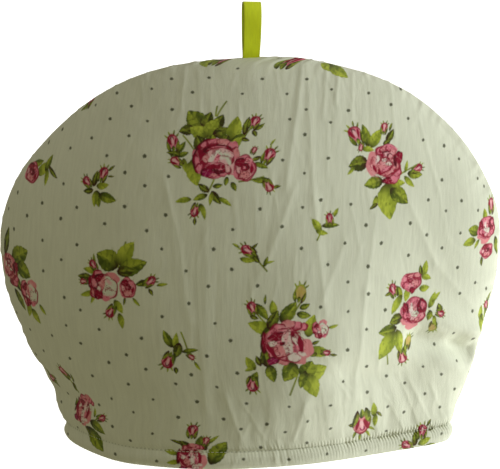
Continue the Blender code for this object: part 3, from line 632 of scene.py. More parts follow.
def brushRose(sheet, place, turn, half):
    # curved strokes, lighter and deeper, that follow the petals round
    block, x, y = localBlock(sheet, place, turn, max(half) + 1)
    if x.size == 0:
        return
    out = np.hypot(x / half[0], y / half[1])
    angle = np.arctan2(y / half[1], x / half[0])
    cover = 1 - smoothStep(out, *roseBrush["end"])
    strokes = unevenness(angle * roseBrush["round"] + out * roseBrush["curl"] + 20,
                         out * roseBrush["out"] + place[1] + 220, roseBrush["seed"])
    strokes = strokes + 0.4 * unevenness(x / 0.9 + 220, y / 0.9 + 220, roseBrush["seed"] + 1)
    fresh = smoothStep(sheet["colour"][block][..., 1], 0.05, 0.20)
    ink(sheet, block, cover * fresh * smoothStep(strokes, 0.30, 0.75) * roseBrush["light"], inks["blush"])
    ink(sheet, block, cover * smoothStep(-strokes, 0.34, 0.70) * roseBrush["deep"], inks["crimson"])
    rims = unevenness(angle * 1.7 + out * 1.6 + place[0] + 420, out * 3.4 + place[1] + 420,
                      roseBrush["seed"] + 2)
    rims = rims + 0.35 * unevenness(x / 2.2 + 320, y / 1.6 + 320, roseBrush["seed"] + 3)
    lines = 1 - smoothStep(abs(rims), 0.02, roseBrush["rim"])
    ink(sheet, block, cover * lines * roseBrush["line"], inks["crimson"])


def rose(sheet, place, turn, width, kind, tall=1.0):
    half = (width / 2, width / 2 * tall)
    for row in roseKinds[kind]:
        shape = dict(zip(petalColumns, row))
        x, y, long, wide = (shape[name] / 100 for name in petalColumns[:4])
        petal(sheet, ahead(place, turn, x * half[0], y * half[1]), (long * half[0], wide * half[1]),
              turn + shape["turn"], shape["colour"], shape.get("rim"), wave=0.05,
              line=min(0.5, 0.10 * width / 4), turnRim=x * 3 + y * 5)
    brushRose(sheet, place, turn, half)


# Sprays: each row is a motif's kind, its place, the way it points, its size and, but for stems and buds,
# its breadth in hundredths of its size
sprays = {
    "large": (
        ("stem", 26, 18, 55, 14), ("stem", 0, -20, -115, 14), ("stem", -35, 22, -50, 22),
        ("stem", -1, 42, 60, 20), ("stem", -2, 42, 84, 12), ("stem", 50, -18, 190, 26),
        ("leaf", -22, 39, 135, 22, 80), ("deep", -10, 38, 70, 17, 62), ("deep", -31, 27, 190, 15, 70),
        ("lime", -19, 25, 150, 18, 72), ("deep", 2, 36, 65, 16, 60), ("lime", -5, 30, 62, 20, 60),
        ("deep", 4, 26, 25, 16, 65), ("lime", 17, 29, 75, 24, 50), ("leaf", 23, 20, 30, 15, 50),
        ("deep", 29, 18, -15, 8, 50), ("deep", 30, 32, 75, 18, 30), ("leaf", 43, 31, 35, 11, 35),
        ("deep", 38, 24, -60, 7, 60), ("bud", 38, 36, 65, 15), ("leaf", -35, 10, 60, 12, 40),
        ("deep", -42, 3, 170, 16, 35), ("leaf", -33, 3, 20, 10, 50), ("bud", -45, 15, 100, 17),
        ("lime", -30, -8, -70, 14, 35), ("paleBud", -40, -4, 150, 14), ("lime", -20, -14, -75, 23, 55),
        ("leaf", 46, -8, -20, 14, 35), ("deep", 40, -1, 200, 10, 40), ("paleBud", 38, 7, 60, 8),
        ("lime", 57, 15, 50, 8, 25), ("bud", 53.5, 2, 60, 17), ("leaf", 46, -21, 180, 16, 35),
        ("deep", 63, -28, 10, 8, 40), ("paleBud", 55, -27, -60, 13), ("deep", -10, -28, 150, 12, 50),
        ("leaf", 4, -26, 10, 9, 50), ("lime", -30, -40, 190, 15, 35), ("leaf", -13, -37, 200, 14, 40),
        ("deep", 3, -37, -50, 14, 45), ("lime", 12, -41, -30, 14, 30), ("lime", -2, -38, -100, 12, 30),
        ("lime", -10, -50, -75, 14, 30), ("deep", -18, -59, -90, 6, 50), ("bud", -18, -49, -110, 13),
        ("leaf", 20, -27, -60, 9, 50), ("leaf", 12, -22, -100, 8, 50), ("deep", -16, 14, 120, 17, 70),
        ("leaf", -6, 15, 80, 15, 80), ("deep", 8, 16, 60, 14, 70), ("lime", 20, 14, 50, 15, 50),
        ("wide", 0, 0, 0, 47, 83), ("small", 29.5, -10, 10, 25, 112),
    ),
    "upright": (
        ("stem", -12, 22, 120, 16), ("stem", 14, -13, 25, 18), ("bud", -30, 31, 115, 20),
        ("leaf", -20, 29, 105, 22, 35), ("lime", -9, 26, 60, 19, 50), ("paleBud", -1, 36, 80, 12),
        ("deep", 5, 28, 60, 13, 50), ("leaf", 6, 37, 70, 8, 30), ("deep", 2, 21, 30, 8, 60),
        ("paleBud", -24, 18, -100, 9), ("lime", -17, 15, -10, 11, 45), ("deep", -26, 1, 190, 17, 75),
        ("lime", -33, -5, -130, 9, 35), ("leaf", -10, -18, 190, 17, 60), ("lime", 5, -36, -85, 31, 60),
        ("leaf", 16, -32, -40, 21, 60), ("lime", 14, -20, 0, 15, 45), ("lime", 27, -19, -45, 14, 35),
        ("lime", 23, -4, 80, 11, 30), ("leaf", 33, -12, -10, 15, 50), ("bud", 36, -7, 20, 12),
        ("lime", -9, -36, -110, 12, 35), ("deep", -10, -40, 210, 9, 35), ("round", 0, 0, 0, 37, 106),
    ),
    "pair": (
        ("stem", 14, 20, 75, 28), ("leaf", 3, 27, 150, 22, 85), ("lime", 22, 35, 60, 25, 55),
        ("leaf", 28, 21, 25, 28, 50), ("deep", 22, 17, 5, 16, 50), ("lime", -14, 15, 170, 14, 40),
        ("lime", -10, 27, 100, 10, 30), ("bud", -11, 21, 120, 12), ("deep", -20, 8, 180, 14, 40),
        ("paleBud", -21, 3, 180, 9), ("lime", -18, -9, 200, 14, 35), ("lime", -12, -13, -110, 12, 30),
        ("deep", 37, 6, 200, 11, 50), ("lime", 57, 5, 10, 10, 30), ("deep", 46, -3, -60, 7, 50),
        ("bud", 45.5, 8, 40, 14), ("lime", 14, -20, -60, 14, 50), ("bud", 6, -26, -120, 15),
        ("lime", 16, -35, -80, 15, 40), ("lime", 32, -14, -50, 10, 30), ("deep", 20, -14, -100, 8, 30),
        ("half", 0, 0, 0, 32, 105), ("small", 23.5, 0, 0, 18, 130),
    ),
    "full": (
        ("stem", 3, 20, 55, 30), ("stem", 10, -30, -115, 28), ("stem", -20, 20, 130, 18),
        ("deep", -30, 25, -20, 8, 50), ("leaf", -23, 30, -50, 18, 40), ("bud", -32, 34, 110, 14),
        ("lime", -24, 16, 165, 23, 50), ("deep", -18, 11, -140, 15, 50), ("lime", -12, 34, 95, 13, 50),
        ("deep", -12, 23, 60, 18, 50), ("leaf", 3, 30, 50, 22, 50), ("leaf", 18, 27, -10, 13, 50),
        ("leaf", 19, 35, 20, 10, 50), ("greenBud", 15, 48, 75, 17), ("leaf", -19, 42, 85, 9, 25),
        ("lime", 25, 16, 70, 20, 50), ("lime", 48, 14, 10, 10, 30), ("half", 35, 12, 20, 17, 110),
        ("lime", 33, -9, -15, 20, 50), ("deep", 29, 0, 20, 8, 40), ("bud", 39, -11, -10, 10),
        ("deep", 26, -12, 200, 7, 60), ("deep", 47, -14, -10, 7, 40), ("lime", -36, -21, 120, 14, 55),
        ("lime", -37, -27, 200, 10, 40), ("deep", -21, -15, 100, 17, 60), ("deep", -28, -18, 110, 10, 50),
        ("leaf", -34, -36, 60, 14, 50), ("bud", -36, -44, -100, 17), ("leaf", -16, -31, -80, 17, 55),
        ("leaf", 1, -29, -120, 21, 65), ("lime", 27, -30, 20, 23, 70), ("leaf", 19, -27, 60, 18, 80),
        ("lime", 21, -45, -75, 25, 60), ("leaf", 14, -38, -110, 18, 40), ("open", 0, 0, 0, 48, 92),
    ),
    "tall": (
        ("stem", 15, 0, -60, 20), ("stem", -30, -34, -80, 18), ("leaf", -16, 22, -60, 13, 45),
        ("deep", -27, 22, 200, 7, 40), ("bud", -22, 25, 110, 14), ("lime", 11, 41, 80, 14, 45),
        ("deep", 7, 40, 100, 10, 40), ("lime", 13, 32, -20, 10, 50), ("lime", 11, 22, 0, 10, 55),
        ("lime", -18, 10, -120, 18, 40), ("lime", -8, 18, -100, 12, 50), ("deep", -18, -5, 200, 13, 70),
        ("leaf", -27, -14, 185, 17, 55), ("lime", -28, -30, -125, 28, 50), ("lime", -16, -28, -85, 23, 45),
        ("greenBud", -3, -32, 60, 14), ("leaf", -10, -39, 70, 10, 60), ("paleBud", -12, -46, -80, 16),
        ("lime", 19, 9, 60, 15, 40), ("lime", 24, 11, 40, 12, 30), ("leaf", 16, -6, -100, 10, 60),
        ("deep", 27, -1, 100, 10, 70), ("bud", 28, -6, -20, 10), ("greenBud", 21, -20, -90, 13),
        ("lime", 22, -12, -80, 10, 40), ("heart", -3, 30, 0, 23, 92), ("ring", 0, 0, 0, 28, 112),
    ),
    "edge": (
        ("stem", -14, 12, 60, 14), ("leaf", -9, 34, 40, 22, 60), ("leaf", -5, 21, -30, 15, 70),
        ("deep", -26, 45, 75, 26, 35), ("deep", -13, 6, -60, 14, 60), ("leaf", -13, -10, -60, 20, 35),
        ("lime", -3, -17, -100, 14, 50), ("lime", 4, -22, -65, 14, 50), ("lime", 12, -13, -60, 10, 35),
        ("round", -24, 18, 0, 25, 125), ("half", 0, 0, 16, 19, 150),
    ),
    "slanted": (
        ("stem", -14, 30, -50, 18), ("paleBud", -17, 36, 130, 15), ("leaf", -7, 32, 90, 9, 30),
        ("deep", -7, 22, -70, 9, 40), ("stem", 10, -16, 40, 16), ("bud", 24, -6, 20, 12),
        ("lime", 15, -2, 90, 10, 30), ("leaf", 18, -18, -30, 19, 50), ("leaf", 13, -32, -45, 27, 55),
        ("deep", 3, -26, -70, 10, 40), ("leaf", -12, 3, 70, 9, 30), ("deep", -4, -15, -120, 10, 50),
        ("open", 0, -2, -22, 22, 185),
    ),
    "low": (
        ("deep", -5, 12, 150, 12, 60), ("bud", 3, 26, 85, 14), ("leaf", 9, 14, 75, 12, 50),
        ("deep", 13, 14, 100, 14, 40), ("paleBud", 16, 16, 60, 10), ("lime", 24, 18, 40, 12, 25),
        ("deep", -13, 14, 160, 12, 25), ("lime", -20, 3, 170, 12, 40), ("leaf", 27, 5, 50, 25, 50),
        ("lime", -18, -5, 190, 12, 40), ("open", 0, 0, 0, 28, 95),
    ),
    "side": (
        ("paleBud", 5, 22, 85, 16), ("lime", -2, 14, 90, 12, 50), ("leaf", -11, 0, 150, 9, 70),
        ("lime", -14, -11, 200, 9, 50), ("lime", -8, -14, -110, 9, 35), ("leaf", 10, -20, -80, 18, 35),
        ("deep", -3, -33, -90, 9, 40), ("small", 1, -23, 0, 13, 130), ("ring", 0, 0, 0, 17, 150),
    ),
    "fat": (
        ("lime", 8, 2, -85, 15, 40), ("lime", 12.5, 14, 100, 14, 40), ("deep", 19, 8, -40, 10, 25),
        ("lime", 15, 2, -85, 13, 35), ("deep", -11, 2, 170, 8, 60), ("lime", 3, 10, 30, 12, 35),
        ("fatBud", 0, 1, -80, 28),
    ),
    "rim": (
        ("lime", 9, 8, 60, 14, 50), ("leaf", 12, 14, 85, 14, 40), ("deep", 17, 8, -40, 10, 25),
        ("lime", 13, 2, -85, 13, 35), ("leaf", 3, 10, 40, 10, 40), ("small", 0, 0, 0, 15, 125),
    ),
    "twin": (
        ("deep", -2, 4, 80, 14, 40), ("lime", 6, -2, 10, 12, 50), ("deep", -9, -8, 190, 10, 50),
        ("leaf", 2, -15, -80, 14, 50), ("lime", -1, -15, -95, 14, 40), ("leaf", 12, -13, -15, 17, 50),
        ("deep", 14, 15, 45, 7, 35), ("deep", 14, 7, 5, 6, 30), ("bud", 5.5, 9, 75, 15),
        ("bud", -11, 0, 140, 13),
    ),
    "trailing": (
        ("stem", 3, -4, -45, 24), ("deep", 7, -6, -50, 15, 45), ("lime", 0, -9, -10, 14, 35),
        ("deep", 6, 4, 40, 9, 30), ("leaf", 18, -11, 70, 10, 35), ("lime", 22, -12, 15, 9, 25),
        ("lime", -12, 5, 150, 8, 30), ("bud", 0, 0, 150, 16),
    ),
    "nodding": (
        ("lime", 7, 6, 60, 9, 40), ("lime", -14, -6, 125, 15, 45), ("lime", -8, -13, -15, 12, 40),
        ("leaf", 1, -7, 0, 17, 30), ("stem", -10, -14, -115, 8), ("bud", 0, 0, 95, 12),
    ),
    "hanging": (
        ("leaf", -3, 16, 115, 18, 42), ("lime", 5, 14, 85, 16, 35), ("deep", 5, 4, -110, 16, 50),
        ("bud", -5, -8, -115, 19), ("stem", 10, 24, -75, 24), ("deep", 2, -18, -90, 7, 60),
        ("leaf", 18, 4, 10, 15, 30), ("paleBud", 18, -2, -40, 9), ("lime", 24, -12, -60, 10, 30),
    ),
    "leaves": (
        ("lime", -4, 0, 160, 16, 50), ("lime", 8, -4, -30, 18, 50), ("leaf", 3, 3, 20, 10, 50),
    ),
    "crumb": (
        ("bud", 0, 0, 60, 14), ("leaf", -6, -3, 200, 9, 40), ("leaf", 8, 2, 20, 9, 40),
    ),
}

# Where the sprays lie on each panel, in mm on the flat cloth, and how many mm a step of the spray is
layoutColumns = ("spray", "sideways", "up", "stepX", "stepY", "turn")
frontLayout = (
    ("large", -24, 211, 0.62, 0.68, 0), ("upright", 86, 204, 0.71, 0.68, 0),
    ("pair", -93, 128, 0.67, 0.62, 0), ("full", 21, 95, 0.63, 0.66, 0), ("tall", 111, 105, 0.75, 0.68, 0),
    ("edge", -154, 115, 1.0, 0.68, 0), ("slanted", -124, 35, 0.72, 0.7, 0), ("low", -44, 9, 0.66, 0.78, 0),
    ("side", 171, 153, 1.15, 0.66, 0), ("rim", -158, 192, 1.25, 0.74, -8),
    ("twin", -100, 192, 0.66, 0.66, 0), ("nodding", 49, 171, 0.62, 0.62, 0),
    ("trailing", -2, 153, 0.62, 0.62, 0), ("hanging", -50, 86, 0.64, 0.64, 0),
    ("fat", 70, 27, 0.66, 0.74, 0), ("twin", 114, 5, 0.8, 0.74, 10), ("leaves", 171, 92, 0.62, 0.5, -80),
    ("crumb", -121, 245, 0.8, 0.8, 40), ("leaves", -41, 290, 0.5, 1.0, 0), ("crumb", -28, 291, 0.42, 1.2, 0),
    ("crumb", 18, 290, 0.45, 1.6, 0), ("leaves", 50, 280, 0.66, 1.3, 0), ("crumb", -157, 49, 0.8, 0.8, 120),
    ("crumb", 178, 98, 0.8, 0.6, 60),
)
backLayout = (
    ("full", -46, 205, 0.64, 0.64, 12), ("tall", 66, 188, 0.66, 0.66, -8), ("pair", 10, 118, 0.66, 0.66, 5),
    ("large", 118, 96, 0.64, 0.64, 0), ("upright", -104, 96, 0.66, 0.66, 6),
    ("twin", -8, 246, 0.66, 0.66, 0), ("slanted", -140, 176, 0.7, 0.7, 40), ("edge", 168, 150, 0.7, 0.66, 0),
    ("fat", -58, 140, 0.66, 0.66, 0), ("nodding", 20, 170, 0.66, 0.66, 0),
    ("trailing", 62, 118, 0.66, 0.66, 10), ("hanging", -44, 62, 0.66, 0.66, 0),
    ("large", -6, 38, 0.62, 0.62, 170), ("twin", 78, 40, 0.66, 0.66, 20), ("fat", 128, 26, 0.66, 0.66, 0),
    ("nodding", -96, 30, 0.66, 0.66, 0), ("trailing", -142, 40, 0.66, 0.66, 30),
    ("crumb", 92, 248, 0.66, 0.66, 0), ("twin", -104, 228, 0.66, 0.66, 30),
    ("leaves", 36, 262, 0.66, 0.66, 0), ("crumb", -60, 270, 0.66, 0.66, 0),
)


def drawSpray(sheet, row):
    spot = dict(zip(layoutColumns, row))
    for kind, x, y, turn, size, *breadth in sprays[spot["spray"]]:
        place = ahead((spot["sideways"], spot["up"]), spot["turn"], x * spot["stepX"], y * spot["stepY"])
        run = (math.cos(math.radians(turn)) * spot["stepX"], math.sin(math.radians(turn)) * spot["stepY"])
        length = size * math.hypot(*run)
        heading = math.degrees(math.atan2(run[1], run[0])) + spot["turn"]
        if kind == "stem":
            stem(sheet, place, heading, length)
        elif kind in leafKinds:
            leaf(sheet, place, heading, length, kind, breadth[0] / 100)
        elif kind in budInks:
            bud(sheet, place, heading, length, kind)
        else:
            tall = breadth[0] / 100 * spot["stepY"] / spot["stepX"]
            rose(sheet, place, turn + spot["turn"], size * spot["stepX"], kind, tall)


dots = {"spacing": 28.5, "rowStep": 11.4, "first": 6.0, "reach": 210, "jitter": 1.7, "clear": 3.2,
        "radius": 1.15, "grow": (0.85, 1.15), "squash": (0.85, 1.1)}


def drawDots(sheet, top, seed):
    rng = np.random.default_rng(seed)
    taken = sheet["inked"].copy()
    row = 0
    up = dots["first"]
    while up < top:
        shift = dots["spacing"] / 2 if row % 2 else 0.0
        for sideways in np.arange(shift - dots["reach"], dots["reach"] + 2, dots["spacing"]):
            place = (sideways + rng.normal(0, dots["jitter"]), up + rng.normal(0, dots["jitter"]))
            block, x, y = localBlock(sheet, place, 0.0, dots["clear"])
            if x.size == 0 or taken[block].max() > 0.2:
                continue
            radius = dots["radius"] * rng.uniform(*dots["grow"])
            size = (radius, radius * rng.uniform(*dots["squash"]))
            petal(sheet, place, size, rng.uniform(0, 180), "dot", wave=0.08)
        up += dots["rowStep"]
        row += 1


# the last two settings give the size and strength of the painted shadow at each needle hole
stitch = {"pitch": 2.7, "gap": 0.55, "radius": 0.17, "tip": 0.55, "sides": 6, "rings": 6, "level": 12.4,
          "lift": 0.10, "clear": 3.0, "holeShadow": (0.50, 0.42), "shade": 0.62}


def stitchStarts(table):
    left = -float(reachAt(table, stitch["level"], -1.0)) + stitch["clear"]
    right = float(reachAt(table, stitch["level"], 1.0)) - stitch["clear"]
    return np.linspace(left, right, int((right - left) / stitch["pitch"]), endpoint=False)


def drawHoleShadows(sheet, table):
    # painted shadow: a dark spot at each needle hole stands in for the shade where the thread draws the
    # cloth in
    wide, high = stitch["holeShadow"]
    for start in stitchStarts(table):
        place = (start - stitch["gap"] / 2, stitch["level"])
        block, x, y = localBlock(sheet, place, 0.0, 1.6)
        cover = np.exp(-((x / wide) ** 2) - (y / high) ** 2) * stitch["shade"]
        ink(sheet, block, cover, inks["dark"] * 1.6)


def printWithHoleShadows(panel, table):
    top = float(table["climb"][-1])
    sheet = blankSheet(top)
    for row in panel["layout"]:
        drawSpray(sheet, row)
    drawDots(sheet, top, panel["seed"])
    # painted shadows at the needle holes go into the same colours as the print
    drawHoleShadows(sheet, table)
    return sheet


def colourAt(sheet, sideways, up):
    rows, columns = sheet["u"].shape
    row = np.clip(np.round(up / sheetGrid["step"]).astype(int), 0, rows - 1)
    column = (sideways + sheetGrid["reach"]) / sheetGrid["step"] - 0.5 * (row % 2)
    return sheet["colour"][row, np.clip(np.round(column).astype(int), 0, columns - 1)]


cloth = {
    "limit": 92000, "leastChange": 0.03, "seamSteps": 300, "hemStep": 0.85, "edgeClear": 0.45,
    "ends": (0.5, 0.6),
    "base": (5, 2), "border": (3, 2), "band": (2, 1), "bandEnd": 18.0, "borderHem": 55.0, "borderSeam": 22.0,
    "halfWidest": 165.6, "halfHem": 128.4, "sharp": 55.0,
}
lining = {"step": 9.0, "rowShare": 0.87, "side": 3.0, "top": 2.0}


def onFrame(spots):
    return (spots + np.array([shiftX, shiftY, 0.0])) * mm


def tubeFaces(base, rings, sides):
    # the walls of a tube whose rings of points follow each other
    faces = []
    for ring in range(rings - 1):
        for side in range(sides):
            a = base + ring * sides + side
            b = base + ring * sides + (side + 1) % sides
            faces.append((a, b, b + sides, a + sides))
    return faces


def newPiece(name, data, material, sharp=None):
    # outward faces, smooth shading and the piece's material
    whole = bmesh.new()
    whole.from_mesh(data)
    bmesh.ops.recalc_face_normals(whole, faces=whole.faces)
    if whole.calc_volume(signed=True) < 0:
        bmesh.ops.reverse_faces(whole, faces=whole.faces)
    whole.to_mesh(data)
    whole.free()
    data.shade_smooth()
    if sharp:
        data.set_sharp_from_angle(angle=math.radians(sharp))
    data.materials.append(material)
    piece = bpy.data.objects.new(name, data)
    bpy.context.collection.objects.link(piece)
    return piece


def seamPoints(table, steps):
    # even steps up the side and round the arch, from the hem on the left to the hem on the right
    share = np.linspace(0.0, 1.0, steps + 1)
    lowLength = math.hypot(form["widest"], cloth["halfWidest"] - cloth["halfHem"])
    archLength = math.pi / 2 * (form["crown"] - form["widest"] + cloth["halfWidest"]) / 2
    turn = np.clip((share * (lowLength + archLength) - lowLength) / archLength, 0, 1)
    straight = np.clip(share * (lowLength + archLength) / lowLength, 0, 1)
    arch = form["widest"] + (table["crown"] - form["widest"]) * np.sin(turn * np.pi / 2)
    heights = np.where(turn > 0, arch, form["widest"] * straight)
    ups = np.interp(heights, table["heights"], table["climb"])
    left = [(-float(reachAt(table, up, -1.0)), float(up)) for up in ups[:-1]]
    right = [(float(reachAt(table, up, 1.0)), float(up)) for up in ups[:-1]]
    return left + [(0.0, float(ups[-1]))] + right[::-1]


def hemPoints(table, count):
    places = np.linspace(-table["left"][0], table["right"][0], count + 1)[1:-1]
    return [(float(place), 0.0) for place in places[::-1]]


def outerPoints(table, sheet):
    # fine where the print changes or the cloth is gathered, wider apart elsewhere
    u = sheet["u"]
    v = sheet["v"]
    inside = reachAt(table, v, u) - abs(u)
    low, high = cloth["ends"]
    allowed = (inside > cloth["edgeClear"]) & (v > low) & (v < table["climb"][-1] - high)
    fromSeam = np.minimum(inside, table["climb"][-1] - v)
    colour = np.sqrt(sheet["colour"])
    change = np.zeros(u.shape)
    for axis, shift in ((0, 1), (0, -1), (1, 1), (1, -1)):
        change = np.maximum(change, np.abs(colour - np.roll(colour, shift, axis)).max(axis=2))
    rowNumber = np.arange(u.shape[0])[:, None]
    columnNumber = np.arange(u.shape[1])[None, :]

    def every(rows, columns):
        return (rowNumber % rows == 0) & ((columnNumber + rowNumber // rows) % columns == 0)

    border = (v < cloth["borderHem"]) | (fromSeam < cloth["borderSeam"])
    chosen = every(*cloth["base"]) | (border & every(*cloth["border"]))
    chosen |= (v < cloth["bandEnd"]) & every(*cloth["band"])
    chosen &= allowed
    room = cloth["limit"] - int(chosen.sum())
    ranked = np.where(allowed & ~chosen, change, 0.0)
    least = cloth["leastChange"]
    if room < ranked.size:
        least = max(least, float(np.sort(ranked, axis=None)[-room]))
    chosen |= ranked > least
    print("outer points", int(chosen.sum()), "least change", round(least, 3))
    return list(zip(u[chosen].tolist(), v[chosen].tolist()))


def liningPoints(table):
    points = []
    step = lining["step"]
    for row, up in enumerate(np.arange(step, table["climb"][-1] - lining["top"], step * lining["rowShare"])):
        left = -float(reachAt(table, up, -1.0)) + lining["side"]
        right = float(reachAt(table, up, 1.0)) - lining["side"]
        points += [(float(x), float(up)) for x in np.arange(left + step / 2 * (row % 2), right, step)]
    return points


def clothFace(table, folds, points, hemCount, seed):
    seam = seamPoints(table, cloth["seamSteps"])
    edge = seam + hemPoints(table, hemCount)
    flat = [Vector(p) for p in edge + points]
    result = delaunay_2d_cdt(flat, [], [list(range(len(edge)))], 1, 1e-6)
    number = {source: index for index, sources in enumerate(result[3]) for source in sources}
    places = np.array([(p.x, p.y) for p in result[0]])
    spots = creasedPoint(table, folds, places[:, 0], places[:, 1], seed)
    order = [number[i] for i in range(len(edge))]
    return {"spots": spots, "flat": places, "faces": [list(f) for f in result[2]],
            "seam": order[:len(seam)], "hem": order[len(seam):]}


def makePanel(name, panel, material):
    table = clothTable(panel, 0.0)
    innerTable = clothTable(panel, form["wall"])
    sheet = printWithHoleShadows(panel, table)
    print(name, "print drawn, inked share", round(float((sheet["inked"] > 0.5).mean()), 3))
    hemCount = int((table["left"][0] + table["right"][0]) / cloth["hemStep"])
    folds = dict(panel["folds"], random=randomWrinkles(table, panel["seed"] + 50))
    outer = clothFace(table, folds, outerPoints(table, sheet), hemCount, panel["seed"])
    inner = clothFace(innerTable, folds, liningPoints(innerTable), hemCount, panel["seed"])
    outerCount = len(outer["spots"])
    faces = list(outer["faces"])
    faces += [[i + outerCount for i in reversed(face)] for face in inner["faces"]]
    for a, b, c, d in zip(outer["seam"], outer["seam"][1:], inner["seam"], inner["seam"][1:]):
        faces.append([a, c + outerCount, d + outerCount, b])
    hems = []
    for side, first in ((outer, 0), (inner, outerCount)):
        hems.append([i + first for i in [side["seam"][-1]] + side["hem"] + [side["seam"][0]]])
    for a, b, c, d in zip(hems[0], hems[0][1:], hems[1], hems[1][1:]):
        faces.append([a, c, d, b])
    spots = onFrame(np.concatenate([outer["spots"], inner["spots"]]))
    data = bpy.data.meshes.new(name)
    data.from_pydata(spots.tolist(), [], faces)
    data.validate()
    # the print, with the painted shadows of the needle holes, as a colour at each point of the outer face
    colours = np.ones((len(spots), 4))
    colours[:outerCount, :3] = colourAt(sheet, outer["flat"][:, 0], outer["flat"][:, 1])
    colours[outerCount:, :3] = inks["ground"]
    tint = data.attributes.new("print", "FLOAT_COLOR", "POINT")
    tint.data.foreach_set("color", colours.ravel())
    flat = np.concatenate([outer["flat"], inner["flat"] * [1, -1]])
    layer = data.uv_layers.new(name="cloth")
    corners = np.zeros(len(data.loops), dtype=np.int32)
    data.loops.foreach_get("vertex_index", corners)
    layer.data.foreach_set("uv", (flat[corners] / 100).astype(np.float32).ravel())
    piece = newPiece(name, data, material, cloth["sharp"])
    print(name, "made,", sum(len(p.vertices) - 2 for p in data.polygons), "triangles")
    return piece, table, folds


def makeStitches(name, panel, table, folds, material):
    starts = stitchStarts(table)
    rings = stitch["rings"]
    sides = stitch["sides"]
    share = np.linspace(0, 1, rings)
    span = stitch["pitch"] - stitch["gap"]
    sideways = (starts[:, None] + span * share[None, :]).ravel()
    up = np.full_like(sideways, stitch["level"])
    lift = np.tile(stitch["lift"] * (1 - (2 * share - 1) ** 4) * 2 - stitch["lift"] * 1.4, len(starts))
    line = onFrame(creasedPoint(table, folds, sideways, up, panel["seed"], lift))
    vertices = []
    faces = []
    for row in line.reshape(len(starts), rings, 3):
        base = len(vertices)
        for index, spot in enumerate(row):
            run = row[min(index + 1, rings - 1)] - row[max(index - 1, 0)]
            run = run / max(np.linalg.norm(run), 1e-9)
            aside = np.cross(run, [0, 0, 1.0])
            aside = aside / max(np.linalg.norm(aside), 1e-9)
            other = np.cross(run, aside)
            radius = stitch["radius"] * mm * (stitch["tip"] if index in (0, rings - 1) else 1.0)
            for turn in np.arange(sides) * 2 * np.pi / sides:
                vertices.append(spot + (aside * np.cos(turn) + other * np.sin(turn)) * radius)
        faces += tubeFaces(base, rings, sides)
        faces.append(tuple(base + side for side in reversed(range(sides))))
        faces.append(tuple(base + (rings - 1) * sides + side for side in range(sides)))
    data = bpy.data.meshes.new(name)
    data.from_pydata([tuple(v) for v in vertices], [], faces)
    print(name, "made,", len(starts), "stitches")
    return newPiece(name, data, material)


# The tape of the loop
tape = {
    "width": 12.0, "thickness": 0.9, "aside": -0.25, "twist": 0.13, "narrowing": 0.8, "wave": 0.18,
    "rise": 36.5, "tuck": 6.0, "bow": 3.9, "fullness": 1.5, "footRise": 1.2, "legOffset": 0.55,
    "legRows": 14, "rows": 150, "columns": 24, "edgeRound": 0.32, "edgeLeast": 0.12, "sharp": 60.0,
}


def crestHeight(across):
    heights = np.linspace(form["crown"] - 30, form["crown"], 600)
    ends = wallPoint(frontPanel, 0.0, np.array([[-np.pi / 2, np.pi / 2]]), heights[:, None])
    inside = (ends[:, 0, 0] <= across) & (ends[:, 1, 0] >= across)
    return float(heights[inside].max())


def tapeLine(crest):
    # the middle of the tape, seen from the side: up from the seam, round and back into it
    foot = crest + tape["footRise"]
    top = crest + tape["rise"] - 0.5
    turns = np.linspace(0.0, np.pi, tape["rows"] + 1)
    share = np.sin(turns)
    apart = np.sqrt(1 - share**4) * (0.5 + tape["bow"] * tape["fullness"] * share**0.7)
    y = np.where(turns < np.pi / 2, -apart, apart)
    y[tape["rows"] // 2] = 0.0
    y[0], y[-1] = -tape["legOffset"], tape["legOffset"]
    z = foot + (top - foot) * share
    depth = np.linspace(crest - tape["tuck"], foot, tape["legRows"], endpoint=False)
    leg = np.full_like(depth, tape["legOffset"])
    line = np.stack([np.concatenate([-leg, y, leg]), np.concatenate([depth, z, depth[::-1]])], axis=1)
    gap = np.linalg.norm(np.diff(line, axis=0), axis=1)
    along = np.concatenate([[0.0], np.cumsum(gap)])
    even = np.linspace(0, along[-1], tape["rows"] + 1)
    smooth = np.stack([np.interp(even, along, line[:, 0]), np.interp(even, along, line[:, 1])], axis=1)
    for turn in range(2):
        smooth[1:-1] = smooth[1:-1] * 0.5 + (smooth[:-2] + smooth[2:]) * 0.25
    return smooth, along[-1]


